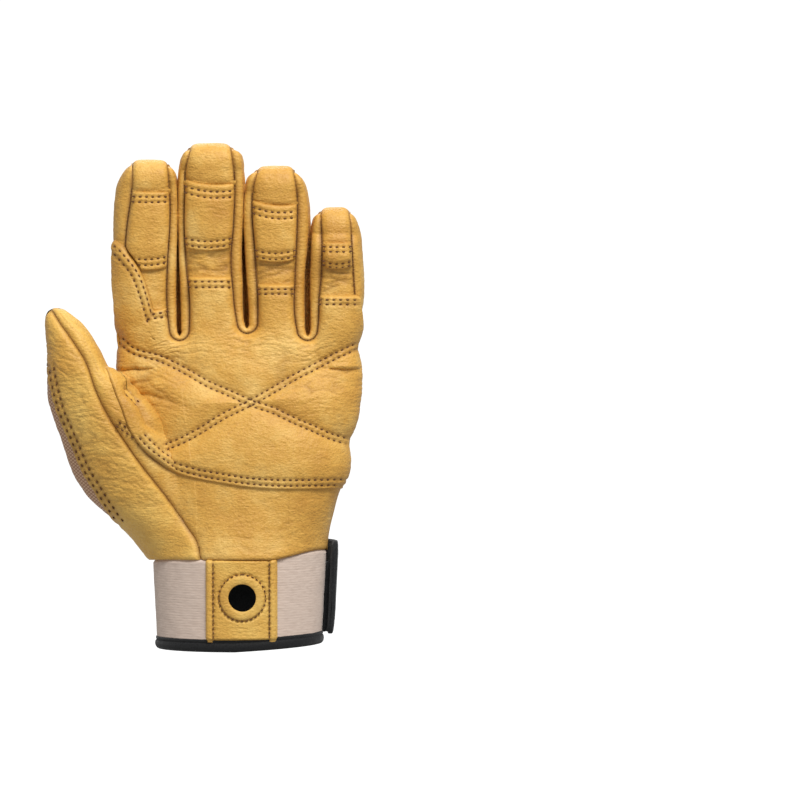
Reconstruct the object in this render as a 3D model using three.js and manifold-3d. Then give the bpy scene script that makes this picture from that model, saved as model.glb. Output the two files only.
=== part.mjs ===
// A left-hand leather climbing glove, filled out as worn, palm towards -Y, fingers up along +Z and
// the thumb towards -X. Millimetres. The origin is the middle of the cuff mouth, where the hand
// goes in. Each hollow form is a stack of level super-ellipse sections. The hand is the union of
// palm, fingers and thumb, hollowed by the same forms drawn in by the leather, and its panels are
// cut from that shell along the seams.
import * as THREE from 'three';
import { mergeVertices } from 'three/addons/utils/BufferGeometryUtils.js';
import Module from 'manifold-3d';

const wasm = await Module();
wasm.setup();

// Driving sizes, millimetres
const leather = 1.2;
const overlay_leather = 1.1;
const fit = 0.3;
const cuff_width = 78.6;
const cuff_depth = 54;
const cuff_height = 41.4;
const foot_taper = { width: 3, depth: 2 };
const elastic_thickness = 1.5;
const lining_thickness = 1;
const lining_height = 36;
const tab_width = 32.6;
const tab_offset = 0.7;
const hole_diameter = 13;
const hole_height = 24;
const ring_rim = 3.4;
const ring_thickness = 1.2;
const binding_height = 7;
const binding_wall = 1.2;
const strap_thickness = 3;
const patch_thickness = 2;
const strap_height = 43;
const strap_lift = 7.5;
const knuckle_height = 105;
const palm_depth = 44;
const finger_depth = 24.5;
const finger_slit = 0.5;
const finger_curl = 9;
const index_length = 79.5;
const middle_length = 86.5;
const ring_length = 76.5;
const little_length = 57;
const index_width = 30.6;
const middle_width = 29.6;
const ring_width = 28.9;
const little_width = 25;
const gusset_show = 3.6;
const thumb_length = 116;
const thumb_reach = 48.7;
const thumb_depth = 34;
const thumb_forward = 19;
const seam_depth = 2.6;
const wrap_reach = 8;

// Worked-out sizes
const elastic_half = { x: cuff_width / 2, y: cuff_depth / 2 };
const foot_half = { x: (cuff_width - foot_taper.width) / 2, y: (cuff_depth - foot_taper.depth) / 2 };
const wrist_half = { x: elastic_half.x + fit + leather, y: elastic_half.y + fit + leather };
const knuckle_z = cuff_height + knuckle_height;
const hand_width = index_width + middle_width + ring_width + little_width + 3 * finger_slit;
const knuckle_left = -hand_width / 2;
const layer_inner = fit;
const layer_outer = fit + overlay_leather;

// Colours and finishes
const finish = (color, roughness) => new THREE.MeshStandardMaterial({ color, roughness, metalness: 0 });
const tan_leather = finish(0xd4a454, 0.55);
const yellow_leather = finish(0xdcb35e, 0.55);
const knit = finish(0xc4a184, 0.9);
const elastic = finish(0xbfa596, 0.85);
const black_fabric = finish(0x1b1c1e, 0.75);
const black_hook = finish(0x202124, 0.65);

// Fingers: name, length, width, then heights as shares of the finger's length above the knuckle
// line: lower edge of the cap, lower edge of the pad and top of the palm overlay's tongue
const finger_table = [
  { name: 'index', length: index_length, width: index_width, cap: 0.818, pad: 0.357, tongue: 0.155 },
  { name: 'middle', length: middle_length, width: middle_width, cap: 0.8, pad: 0.435, tongue: 0.292 },
  { name: 'ring', length: ring_length, width: ring_width, cap: 0.774, pad: 0.42, tongue: 0.287 },
  { name: 'little', length: little_length, width: little_width, cap: 0.71, pad: 0.507, tongue: 0.296 },
];
// Finger trunk: height as a share of its length, half width and half depth as shares
const trunk_table = [
  { up: -0.24, wide: 0.94, deep: 1.03 },
  { up: 0.1, wide: 0.97, deep: 1.04 },
  { up: 0.42, wide: 1, deep: 1 },
];
// Fingertip: distance below the tip as a share of the width, half width and half depth as shares
const tip_table = [
  { down: 0.6, wide: 0.975, deep: 0.93 },
  { down: 0.28, wide: 0.915, deep: 0.83 },
  { down: 0.12, wide: 0.79, deep: 0.68 },
  { down: 0.04, wide: 0.62, deep: 0.5 },
  { down: 0, wide: 0.42, deep: 0.32 },
];
// Palm: height as a share of knuckle_height, left and right edges as shares of the way from the
// wrist's edge to the knuckle's, front and back as shares of palm_depth
const palm_table = [
  { up: 0, left: 0, right: 0, front: null, back: null },
  { up: 0.09, left: 0.02, right: 0.01, front: 0.595, back: 0.58 },
  { up: 0.2, left: 0.05, right: 0.15, front: 0.56, back: 0.5 },
  { up: 0.36, left: 0.09, right: 0.49, front: 0.54, back: 0.425 },
  { up: 0.54, left: 0.18, right: 0.76, front: 0.51, back: 0.375 },
  { up: 0.7, left: 0.4, right: 0.91, front: 0.45, back: 0.345 },
  { up: 0.82, left: 0.86, right: 0.97, front: 0.375, back: 0.31 },
  { up: 0.92, left: 0.97, right: 0.98, front: 0.305, back: 0.28 },
  { up: 0.975, left: 0.97, right: 0.97, front: 0.24, back: 0.22 },
  { up: 1, left: 0.95, right: 0.95, front: 0.15, back: 0.14 },
];
// Thumb: height as a share of thumb_length above the wrist edge, left and right edges as shares of
// thumb_reach out from the wrist's edge, forward as a share of thumb_forward, deep of thumb_depth
const thumb_table = [
  { up: 0.015, left: -0.02, right: -0.3, forward: 0, deep: 0.42 },
  { up: 0.064, left: 0.125, right: -0.34, forward: 0.04, deep: 0.5 },
  { up: 0.127, left: 0.27, right: -0.36, forward: 0.1, deep: 0.55 },
  { up: 0.19, left: 0.45, right: -0.36, forward: 0.18, deep: 0.57 },
  { up: 0.253, left: 0.59, right: -0.34, forward: 0.27, deep: 0.57 },
  { up: 0.33, left: 0.7, right: -0.29, forward: 0.38, deep: 0.56 },
  { up: 0.44, left: 0.8, right: -0.17, forward: 0.55, deep: 0.53 },
  { up: 0.55, left: 0.893, right: -0.02, forward: 0.72, deep: 0.49 },
  { up: 0.634, left: 0.965, right: 0.131, forward: 0.82, deep: 0.455 },
  { up: 0.72, left: 0.978, right: 0.3, forward: 0.91, deep: 0.42 },
  { up: 0.8, left: 0.978, right: 0.42, forward: 0.97, deep: 0.38 },
  { up: 0.888, left: 1, right: 0.546, forward: 1, deep: 0.315 },
  { up: 0.96, left: 1, right: 0.7, forward: 1, deep: 0.21 },
  { up: 1, left: 0.965, right: 0.83, forward: 1, deep: 0.08 },
];
// Seams of the thumb: height and distance out from the wrist's edge, shares as in thumb_table
const thumb_seam = [
  { up: 1.08, out: 0.975 }, { up: 0.985, out: 0.955 }, { up: 0.86, out: 0.737 },
  { up: 0.773, out: 0.605 }, { up: 0.67, out: 0.53 }, { up: 0.563, out: 0.4 },
  { up: 0.484, out: 0.277 }, { up: 0.377, out: 0.1 }, { up: 0.25, out: -0.15 },
  { up: 0.131, out: -0.33 }, { up: 0.072, out: -0.42 }, { up: -0.05, out: -0.47 },
];
const mesh_seam = [
  { up: 0.771, out: 1.15 }, { up: 0.771, out: 0.962 }, { up: 0.69, out: 0.886 },
  { up: 0.595, out: 0.8 }, { up: 0.504, out: 0.726 }, { up: 0.42, out: 0.63 },
  { up: 0.345, out: 0.527 }, { up: 0.254, out: 0.423 }, { up: 0.159, out: 0.253 },
  { up: 0.1, out: 0.15 }, { up: 0.1, out: 1.15 },
];
// The open notch between thumb and index finger, from the crotch up, shares as in thumb_table
const notch_line = [
  { up: 0.634, out: 0.131 }, { up: 0.72, out: 0.287 }, { up: 0.8, out: 0.375 }, { up: 1.2, out: 0.375 },
];
// Thumb web: ends of the stitched bar between the thumb panel and the palm
const web_bar = { left: { up: 0.52, out: 0.335 }, right: { up: 0.464, out: 0.135 } };
// Lower edge of the palm overlay, from the thumb to the little-finger side: height and distance
// out from the wrist's left edge as shares of thumb_length and cuff_width
const overlay_edge = [
  { up: 0.855, across: -0.31 }, { up: 0.785, across: -0.276 }, { up: 0.69, across: -0.23 },
  { up: 0.595, across: -0.175 }, { up: 0.484, across: -0.109 }, { up: 0.444, across: -0.054 },
  { up: 0.389, across: 0.036 }, { up: 0.349, across: 0.118 }, { up: 0.321, across: 0.253 },
  { up: 0.301, across: 0.405 }, { up: 0.285, across: 0.563 }, { up: 0.278, across: 0.727 },
  { up: 0.278, across: 0.891 }, { up: 0.283, across: 1.2 },
];

// A level super-ellipse section: height, centre x and y, half sizes and the super-ellipse's power,
// which is 2 for a plain ellipse
const section = (z, x, y, half_x, half_y, power) => ({ z, x, y, half_x, half_y, power });

// The rows of a form moved outward along its surface by grow, or inward where it is negative. A
// tapering row also moves along Z, and a leaning one is widened, so that the wall keeps its thickness
function grown(rows, grow) {
  return rows.map((row, i) => {
    const below = rows[Math.max(i - 1, 0)];
    const above = rows[Math.min(i + 1, rows.length - 1)];
    const rise = above.z - below.z;
    const taper = (below.half_x - above.half_x) / rise;
    const lean = (above.x - below.x) / rise;
    const slant = Math.hypot(1, taper);
    return section(
      row.z + grow * taper / slant, row.x, row.y,
      row.half_x + grow * Math.hypot(1, lean) / slant, row.half_y + grow / slant, row.power,
    );
  });
}

// A closed solid through the rows, with flat ends
function loft(rows, sides) {
  const points = [];
  for (const row of rows) {
    const ease = (value) => Math.sign(value) * Math.abs(value) ** (2 / row.power);
    for (let i = 0; i < sides; i += 1) {
      const angle = 2 * Math.PI * i / sides;
      const x = row.x + row.half_x * ease(Math.cos(angle));
      const y = row.y + row.half_y * ease(Math.sin(angle));
      points.push(x, y, row.z);
    }
  }
  const faces = [];
  for (let j = 0; j < rows.length - 1; j += 1) {
    for (let i = 0; i < sides; i += 1) {
      const a = j * sides + i;
      const b = j * sides + (i + 1) % sides;
      faces.push(a, b, b + sides, a, b + sides, a + sides);
    }
  }
  const bottom = points.length / 3;
  points.push(rows[0].x, rows[0].y, rows[0].z);
  const top = bottom + 1;
  const last = rows[rows.length - 1];
  points.push(last.x, last.y, last.z);
  const start = (rows.length - 1) * sides;
  for (let i = 0; i < sides; i += 1) {
    const next = (i + 1) % sides;
    faces.push(bottom, next, i, top, start + i, start + next);
  }
  const geometry = new THREE.BufferGeometry();
  geometry.setAttribute('position', new THREE.Float32BufferAttribute(points, 3));
  geometry.setIndex(faces);
  return geometry;
}

// A mesh made a solid that can be joined and cut
function solid(geometry) {
  const bare = geometry.clone();
  bare.deleteAttribute('normal');
  bare.deleteAttribute('uv');
  const merged = mergeVertices(bare, 1e-5);
  return new wasm.Manifold(new wasm.Mesh({
    numProp: 3,
    vertProperties: new Float32Array(merged.attributes.position.array),
    triVerts: new Uint32Array(merged.index.array),
  }));
}

// A front-view outline of [x, z] points, run through from y0 to y1
function prism(outline, y0, y1) {
  const shape = new THREE.Shape(outline.map(([x, z]) => new THREE.Vector2(x, z)));
  const geometry = new THREE.ExtrudeGeometry(shape, { depth: y1 - y0, bevelEnabled: false, steps: 1 });
  geometry.rotateX(Math.PI / 2);
  geometry.translate(0, y1, 0);
  return solid(geometry);
}

// An outline moved outward by grow, each corner along its mitre
function widened(outline, grow) {
  const count = outline.length;
  const turn = Math.sign(THREE.ShapeUtils.area(outline.map(([x, z]) => new THREE.Vector2(x, z))));
  return outline.map(([x, z], i) => {
    const before = outline[(i + count - 1) % count];
    const after = outline[(i + 1) % count];
    const one = new THREE.Vector2(x - before[0], z - before[1]).normalize();
    const two = new THREE.Vector2(after[0] - x, after[1] - z).normalize();
    const mitre = new THREE.Vector2(one.y + two.y, -one.x - two.x).multiplyScalar(turn);
    const reach = grow * 2 / Math.max(mitre.lengthSq(), 0.5);
    return [x + mitre.x * reach, z + mitre.y * reach];
  });
}

// A side-view outline of [y, z] points, run through from x0 to x1
function side_prism(outline, x0, x1) {
  const shape = new THREE.Shape(outline.map(([y, z]) => new THREE.Vector2(y, z)));
  const geometry = new THREE.ExtrudeGeometry(shape, { depth: x1 - x0, bevelEnabled: false, steps: 1 });
  const turn = new THREE.Matrix4().makeBasis(
    new THREE.Vector3(0, 1, 0), new THREE.Vector3(0, 0, 1), new THREE.Vector3(1, 0, 0),
  );
  geometry.applyMatrix4(turn);
  geometry.translate(x0, 0, 0);
  return solid(geometry);
}

// Fingers side by side along the knuckle line
let edge = knuckle_left;
const fingers = finger_table.map((row) => {
  const left = edge;
  edge += row.width + finger_slit;
  const at = (share) => knuckle_z + share * row.length;
  return { ...row, left, right: left + row.width, middle: left + row.width / 2, at, tip: at(1) };
});
const hand_top = Math.max(...fingers.map((finger) => finger.tip));
const slots = fingers.slice(0, -1).map((finger) => finger.right + finger_slit / 2);

// How far forward, towards -Y, a finger has curled at a height
const curl = (z) => finger_curl * Math.max(0, (z - knuckle_z) / (hand_top - knuckle_z)) ** 1.6;

function finger_rows(finger) {
  const rows = trunk_table.map((row) => ({ ...row, z: finger.at(row.up) }));
  rows.push(...tip_table.map((row) => ({ ...row, z: finger.tip - row.down * finger.width })));
  rows.sort((a, b) => a.z - b.z);
  const thick = finger_depth * (0.4 + 0.6 * finger.width / middle_width) / 2;
  return rows.map(({ z, wide, deep }) => (
    section(z, finger.middle, -curl(z), wide * finger.width / 2, deep * thick, 2.5)));
}

function palm_rows() {
  return palm_table.map((row) => {
    const left = -wrist_half.x + row.left * (knuckle_left + wrist_half.x);
    const right = wrist_half.x + row.right * (-knuckle_left - wrist_half.x);
    const front = row.front === null ? wrist_half.y : row.front * palm_depth;
    const back = row.back === null ? wrist_half.y : row.back * palm_depth;
    const z = cuff_height + row.up * knuckle_height;
    const power = 2 + 0.4 * Math.min(1, row.up / 0.3);
    return section(
      z, (left + right) / 2, (back - front) / 2, (right - left) / 2, (front + back) / 2, power,
    );
  });
}

const thumb_z = (up) => cuff_height + up * thumb_length;
const thumb_x = (out) => -wrist_half.x - out * thumb_reach;

function thumb_rows() {
  return thumb_table.map((row) => {
    const left = thumb_x(row.left);
    const right = thumb_x(row.right);
    return section(thumb_z(row.up), (left + right) / 2, -row.forward * thumb_forward,
      (right - left) / 2, row.deep * thumb_depth, 2.2);
  });
}

const finger_form = (finger, grow) => solid(loft(grown(finger_rows(finger), grow), 16));

// The whole hand moved outward by grow. The hollow runs on down through the wrist
function hand(grow, hollow) {
  const palm = grown(palm_rows(), grow);
  if (hollow) {
    palm.unshift({ ...palm[0], z: palm[0].z - cuff_height / 2 });
  }
  let whole = solid(loft(palm, 24));
  for (const finger of fingers) {
    whole = whole.add(finger_form(finger, grow));
  }
  return whole.add(solid(loft(grown(thumb_rows(), grow), 14)));
}

// Front-view regions of the panels, as [x, z] outlines
const beyond = 40;
const left_end = thumb_x(1) - beyond;
const right_end = -knuckle_left + beyond;
const top_end = hand_top + beyond;
const bottom_end = cuff_height - beyond / 2;
const front_end = -palm_depth - beyond;
const back_end = palm_depth + beyond;

// A slot's two seams with their round lower end, which the fourchette fills
function slot_outline(x) {
  const outline = [[x - gusset_show, top_end]];
  const steps = 4;
  for (let i = 0; i <= steps; i += 1) {
    const angle = Math.PI * (1 + i / steps);
    outline.push([x + gusset_show * Math.cos(angle), knuckle_z + seam_depth * Math.sin(angle)]);
  }
  outline.push([x + gusset_show, top_end]);
  return outline;
}

const [index, middle, ring, little] = fingers;
const [index_slot, middle_slot, ring_slot] = slots;
const index_side_outline = [
  [index.left + gusset_show, top_end], [left_end, top_end],
  [left_end, index.at(0.62)], [index.left, index.at(0.553)], [index.left + gusset_show, index.at(0.45)],
];
const little_side_outline = [
  [little.right - gusset_show * 0.7, top_end], [little.right - gusset_show * 0.7, little.at(0.06)],
  [little.right + gusset_show, little.at(0)], [right_end, little.at(0)], [right_end, top_end],
];
const thumb_point = ({ up, out }) => [thumb_x(out), thumb_z(up)];
const seam_points = thumb_seam.map(thumb_point);
const notch_points = notch_line.map(thumb_point);
const thumb_inner_outline = [
  ...seam_points.slice(0, 6), thumb_point(web_bar.left), thumb_point(web_bar.right), ...notch_points,
];
const mesh_points = mesh_seam.map(thumb_point);
const mesh_top = thumb_z(mesh_seam[0].up);
const thumb_outer_front = [
  ...seam_points, [left_end, bottom_end], [left_end, thumb_z(0.1)],
  ...mesh_points.slice(1, -1).reverse(), [left_end, mesh_top], [left_end, thumb_z(1.08)],
];
const thumb_outer_back = [
  [left_end, mesh_top], thumb_point({ up: mesh_seam[0].up, out: 0.345 }), ...notch_points.slice(2),
  [left_end, thumb_z(1.2)],
];
const thumb_outer_edge = [...seam_points.slice(0, 3), [thumb_x(0.6), mesh_top], [left_end, mesh_top]];
const strip_outline = (finger, low) => {
  const left = finger === index ? left_end : finger.left - finger_slit / 2;
  const right = finger === little ? right_end : finger.right + finger_slit / 2;
  return [[left, low], [right, low], [right, top_end], [left, top_end]];
};

// The middle surface between palm side and back, as [y, z] points: one for the fingers and hand,
// one for the thumb
const levels = [0, 0.25, 0.5, 0.75, 1].map((share) => knuckle_z + share * (hand_top - knuckle_z));
const hand_middle = [[0, bottom_end], ...levels.map((z) => [-curl(z), z]), [-curl(top_end), top_end]];
const thumb_middle = [
  [0, bottom_end], ...thumb_table.map((row) => [-row.forward * thumb_forward, thumb_z(row.up)]),
  [-thumb_forward, top_end],
];
const palm_side = (middle, grow) => side_prism(
  [...middle.map(([y, z]) => [y + grow, z]), [front_end, top_end], [front_end, bottom_end]],
  left_end, right_end,
);
const back_side = (middle, grow) => side_prism(
  [...middle.map(([y, z]) => [y - grow, z]), [back_end, top_end], [back_end, bottom_end]],
  left_end, right_end,
);

// Panels are carved one after another. Each takes its region drawn in by half the gap, and leaves
// the rest cut by the region moved out by half the gap
let remainder = hand(0, false).subtract(hand(-leather, true));

function carve(...regions) {
  const region = (grow) => regions
    .map(({ outline, half, middle }) => {
      const through = prism(widened(outline, grow), front_end, back_end);
      return half ? through.intersect(half(middle, grow)) : through;
    })
    .reduce((whole, part) => whole.add(part));
  const panel = remainder.intersect(region(-fit / 2));
  remainder = remainder.subtract(region(fit / 2));
  return panel;
}

const glove = new THREE.Group();

// The largest connected body of a cut, so that a sliver at a seam's end is trimmed away
function largest_body(points, faces) {
  const owner = Array.from({ length: points.length / 3 }, (_, i) => i);
  const find = (i) => {
    let root = i;
    while (owner[root] !== root) {
      owner[root] = owner[owner[root]];
      root = owner[root];
    }
    return root;
  };
  for (let i = 0; i < faces.length; i += 3) {
    owner[find(faces[i])] = find(faces[i + 1]);
    owner[find(faces[i + 1])] = find(faces[i + 2]);
  }
  const volume = new Map();
  const corner = (i) => new THREE.Vector3().fromArray(points, 3 * i);
  for (let i = 0; i < faces.length; i += 3) {
    const [a, b, c] = [corner(faces[i]), corner(faces[i + 1]), corner(faces[i + 2])];
    const body = find(faces[i]);
    volume.set(body, (volume.get(body) ?? 0) + a.dot(b.cross(c)) / 6);
  }
  const main = [...volume.entries()].sort((a, b) => b[1] - a[1])[0][0];
  const kept = [];
  for (let i = 0; i < faces.length; i += 3) {
    if (find(faces[i]) === main) {
      kept.push(faces[i], faces[i + 1], faces[i + 2]);
    }
  }
  return kept;
}

function piece(name, shape, material) {
  const cut = shape.getMesh();
  const points = Array.from(cut.vertProperties);
  const geometry = new THREE.BufferGeometry();
  geometry.setAttribute('position', new THREE.Float32BufferAttribute(points, 3));
  geometry.setIndex(largest_body(points, Array.from(cut.triVerts)));
  const flat = geometry.toNonIndexed();
  flat.computeVertexNormals();
  const mesh = new THREE.Mesh(flat, material);
  mesh.name = name;
  glove.add(mesh);
}

// Fourchettes between the fingers
slots.forEach((x, i) => {
  const name = `fourchette_${fingers[i].name}_${fingers[i + 1].name}`;
  piece(name, carve({ outline: slot_outline(x) }), tan_leather);
});

// Side strips of the index and little fingers
piece('index_side', carve({ outline: index_side_outline }), tan_leather);
piece('little_side', carve({ outline: little_side_outline }), tan_leather);

// Thumb: its inner panel towards the palm, and the outer panel that folds round the tip
const thumb_front = { half: palm_side, middle: thumb_middle };
const thumb_back = { half: back_side, middle: thumb_middle };
piece('thumb_inner', carve({ outline: thumb_inner_outline, ...thumb_front }), yellow_leather);
piece('thumb_outer', carve(
  { outline: thumb_outer_front, ...thumb_front }, { outline: thumb_outer_back, ...thumb_back },
  { outline: thumb_outer_edge },
), yellow_leather);

// Finger caps, which fold over the tips and run down the backs to the knuckles
const knuckle_seam = knuckle_z - 0.06 * knuckle_height;
for (const finger of fingers) {
  piece(`${finger.name}_cap`, carve(
    { outline: strip_outline(finger, finger.at(finger.cap)) },
    { outline: strip_outline(finger, knuckle_seam), half: back_side, middle: hand_middle },
  ), tan_leather);
}

// Knit back, which runs on round the thumb's outer edge, and the palm leather with the four
// finger fronts, which is what then remains
const back_outline = [
  [left_end, bottom_end], [right_end, bottom_end], [right_end, top_end], [left_end, top_end],
];
const thumb_region = [
  [left_end, thumb_z(0.1)], [notch_points[0][0], thumb_z(0.1)], ...notch_points, [left_end, thumb_z(1.2)],
];
piece('back_panel', carve(
  { outline: back_outline, half: back_side, middle: hand_middle },
  { outline: thumb_region, ...thumb_back }, { outline: mesh_points },
), knit);
piece('palm_panel', remainder, tan_leather);

// Raised leather over the palm and finger fronts, clear of the slots
const raised = hand(layer_outer, false).subtract(hand(layer_inner, false));
let cleared = raised;
for (const x of slots) {
  cleared = cleared.subtract(prism(widened(slot_outline(x), fit), front_end, back_end));
}
const across = (share) => -cuff_width / 2 + share * cuff_width;
const overlay_lower = overlay_edge.map((row) => [across(row.across), thumb_z(row.up)]);
const overlay_outline = [
  ...overlay_lower,
  [right_end, overlay_lower[overlay_lower.length - 1][1]],
  [right_end, little.at(little.tongue)],
  [ring_slot, little.at(little.tongue)], [ring_slot, ring.at(ring.tongue)],
  [middle_slot, ring.at(ring.tongue)], [middle_slot, middle.at(middle.tongue)],
  [index_slot, middle.at(middle.tongue)], [index_slot, index.at(index.tongue)],
  [index.left + 0.58 * index.width, index.at(0.105)], [index.left + 0.4 * index.width, index.at(0.3)],
  [index.left + 0.16 * index.width, index.at(0.45)], [index.left - leather, index.at(0.57)],
  [index.left - wrap_reach, index.at(0.57)], [thumb_x(0.42), thumb_z(0.92)],
];
const behind_thumb = prism(thumb_region, front_end, back_end).intersect(back_side(thumb_middle, fit));
const overlay_side = palm_side(hand_middle, -fit).subtract(behind_thumb);
const overlay = cleared.intersect(prism(overlay_outline, front_end, back_end));
piece('palm_overlay', overlay.intersect(overlay_side), tan_leather);

// Pads on the finger fronts, the index one trimmed along the overlay's slanting edge
const overlay_cut = prism(widened(overlay_outline, fit), front_end, back_end);
for (const finger of fingers) {
  const low = finger.at(finger.pad);
  const high = finger.at(finger.cap);
  const left = finger.left + gusset_show + fit;
  const right = finger.right - gusset_show - fit;
  const layer = finger_form(finger, layer_outer).subtract(finger_form(finger, layer_inner));
  const outline = [[left, low], [right, low], [right, high], [left, high]];
  const front = palm_side(hand_middle, -fit);
  const pad = layer.intersect(prism(outline, front_end, back_end)).intersect(front).subtract(overlay_cut);
  piece(`${finger.name}_pad`, pad, tan_leather);
}

// The cuff: rings round the wrist, each named by how far it lies outside the elastic's face
const cuff_sides = 28;
const ring_form = (out, low, high) => {
  const row = (z) => {
    const up = z / cuff_height;
    const half_x = THREE.MathUtils.lerp(foot_half.x, elastic_half.x, up);
    const half_y = THREE.MathUtils.lerp(foot_half.y, elastic_half.y, up);
    return section(z, 0, 0, half_x + out, half_y + out, 2);
  };
  return solid(loft([row(low), row(high)], cuff_sides));
};
const band = (out, thickness, low, high) => (
  ring_form(out, low, high).subtract(ring_form(out - thickness, low - fit, high + fit)));

const band_low = binding_wall + fit;
const tab_out = fit + leather;
const lining_out = -elastic_thickness - fit;

// A round rod through the front of the cuff at the clip hole
function hole_rod(radius) {
  const rod = new THREE.CylinderGeometry(radius, radius, cuff_depth, 16);
  rod.translate(tab_offset, -cuff_depth / 2, hole_height);
  return solid(rod);
}
const clip_hole = hole_rod(hole_diameter / 2);

const elastic_band = band(0, elastic_thickness, band_low, cuff_height - fit);
piece('cuff_elastic', elastic_band.subtract(clip_hole), elastic);
const lining_band = band(lining_out, lining_thickness, band_low, band_low + lining_height);
piece('cuff_lining', lining_band.subtract(clip_hole), black_fabric);

// Leather tab over the front of the elastic, from the binding to the hand
const tab_left = tab_offset - tab_width / 2;
const tab_right = tab_offset + tab_width / 2;
const tab_outline = [
  [tab_left, binding_height + fit], [tab_right, binding_height + fit],
  [tab_right, cuff_height - fit], [tab_left, cuff_height - fit],
];
const tab_band = band(tab_out, leather, 0, cuff_height);
piece('cuff_tab', tab_band.intersect(prism(tab_outline, front_end, 0)).subtract(clip_hole), yellow_leather);

// A pressed ring round the clip hole, following the tab's curve
const ring_out = tab_out + fit + ring_thickness;
const rim = band(ring_out, ring_thickness, 0, cuff_height).intersect(hole_rod(hole_diameter / 2 + ring_rim));
piece('tab_ring', rim.subtract(clip_hole), yellow_leather);

// Binding: a channel round the lower edge that holds the lining and the elastic
const channel = ring_form(fit, binding_wall, cuff_height)
  .subtract(ring_form(lining_out - lining_thickness - fit, 0, cuff_height + fit));
const binding_ring = ring_form(fit + binding_wall, 0, binding_height)
  .subtract(ring_form(lining_out - lining_thickness - fit - binding_wall, -fit, cuff_height));
piece('cuff_binding', binding_ring.subtract(channel), black_fabric);

// Closure across the back of the cuff: a loop patch on the elastic, and the strap that grips it,
// both ending just past the little-finger edge
const patch_out = fit + patch_thickness;
const strap_out = patch_out + fit + strap_thickness;
const strap_end = -0.1 * cuff_depth;
const strap_left = -0.24 * cuff_width;
const strap_corner = 6;
const closure_outline = (left, low, high, corner) => [
  [left, low + corner], [left + corner, low], [right_end, low], [right_end, high],
  [left + corner, high], [left, high - corner],
];
const patch_outline = closure_outline(
  -0.4 * cuff_width, binding_height + 2 * fit, cuff_height - 2 * fit, strap_corner / 3,
);
const patch_band = band(patch_out, patch_thickness, 0, cuff_height + strap_height);
piece('loop_patch', patch_band.intersect(prism(patch_outline, strap_end, back_end)), black_hook);
const strap_outline = closure_outline(strap_left, strap_lift, strap_lift + strap_height, strap_corner);
const strap_band = band(strap_out, strap_thickness, 0, cuff_height + strap_height);
piece('closure_strap', strap_band.intersect(prism(strap_outline, strap_end, back_end)), black_hook);

export default glove;
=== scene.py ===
"""Finish of a left-hand leather climbing glove, filled out as worn, palm towards -Y.

Every leather and knit panel is a sheet of points on the hand's front or back, worked out with numpy
from a few sections, then moved out or in by its seams, stitches, quilting and creases. Lengths
inside the functions are millimetres; a mesh is written in metres.
"""
import math

import bpy
import bmesh
import numpy as np
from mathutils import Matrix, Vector


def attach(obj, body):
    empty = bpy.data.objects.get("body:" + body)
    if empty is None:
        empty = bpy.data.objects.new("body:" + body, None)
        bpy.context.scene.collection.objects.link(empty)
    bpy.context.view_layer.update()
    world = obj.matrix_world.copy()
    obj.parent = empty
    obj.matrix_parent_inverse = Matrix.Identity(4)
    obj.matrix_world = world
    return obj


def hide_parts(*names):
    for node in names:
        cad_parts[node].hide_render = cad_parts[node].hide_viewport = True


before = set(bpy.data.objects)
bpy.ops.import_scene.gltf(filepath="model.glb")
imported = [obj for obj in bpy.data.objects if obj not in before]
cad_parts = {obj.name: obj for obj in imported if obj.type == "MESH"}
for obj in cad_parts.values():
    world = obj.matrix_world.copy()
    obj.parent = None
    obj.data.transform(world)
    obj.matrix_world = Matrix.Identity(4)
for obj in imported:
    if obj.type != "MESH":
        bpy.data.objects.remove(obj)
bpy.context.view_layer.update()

MM = 0.001
# The camera stands level with the middle of the picture, in front of the palm
EYE_X = 73.8
EYE_Z = 115.0
EYE_BACK = 900.0
PICTURE_WIDTH = 368.0
SENSOR = 36.0

WRIST_Z = 41.4
CROTCH_X = -47.1
CROTCH_Z = 115.0
FORK_X = -56.2
FORK_Z = 126.5
MESH_TOP_Z = 130.6
KNUCKLE_Z = 146.4
HAND_TOP_Z = 232.9
FINGER_CURL = 9.0
STITCH_PITCH = 2.8
THUMB_PITCH = 3.5
SEAM_FLOOR = 1.2
WALL_DEPTH = 2.2
COVER = 1.3
THUMB_TOP_Z = 157.4
# A distance past the reach of any seam or edge
FAR = 9.0
# Threads: half lengths along, across and out of the leather, and the pitch in the finger seams
ROW_THREAD = (0.8, 0.42, 0.36)
SEAM_THREAD = (0.5, 0.17, 0.22)
TAB_THREAD = (0.72, 0.3, 0.3)
SEAM_PITCH = 1.25
# Points closer than this, in metres, become one: on a sheet, and on a stitch
SHEET_MERGE = 0.00002
STITCH_MERGE = 0.000001


# Curves and fields
def spline(at, knots, values):
    """Cubic Hermite curve through the knots: slopes taken from the neighbours, level beyond the ends."""
    knots = np.asarray(knots, float)
    values = np.asarray(values, float)
    slopes = np.gradient(values, knots)
    at = np.clip(at, knots[0], knots[-1])
    k = np.clip(np.searchsorted(knots, at, side="right") - 1, 0, len(knots) - 2)
    span = knots[k + 1] - knots[k]
    t = (at - knots[k]) / span
    return ((2 * t**3 - 3 * t**2 + 1) * values[k] + (t**3 - 2 * t**2 + t) * span * slopes[k]
            + (3 * t**2 - 2 * t**3) * values[k + 1] + (t**3 - t**2) * span * slopes[k + 1])


def table(rows):
    """A function of z from rows of (z, value)."""
    rows = np.asarray(rows, float)
    return lambda z: spline(z, rows[:, 0], rows[:, 1])


def smooth_step(low, high, value):
    """0 below low, 1 above high, and a smooth S between."""
    t = np.clip((value - low) / (high - low), 0, 1)
    return t * t * (3 - 2 * t)


def mix(a, b, share):
    """a where share is 0, b where it is 1, and the straight way between."""
    return a * (1 - share) + b * share


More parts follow.
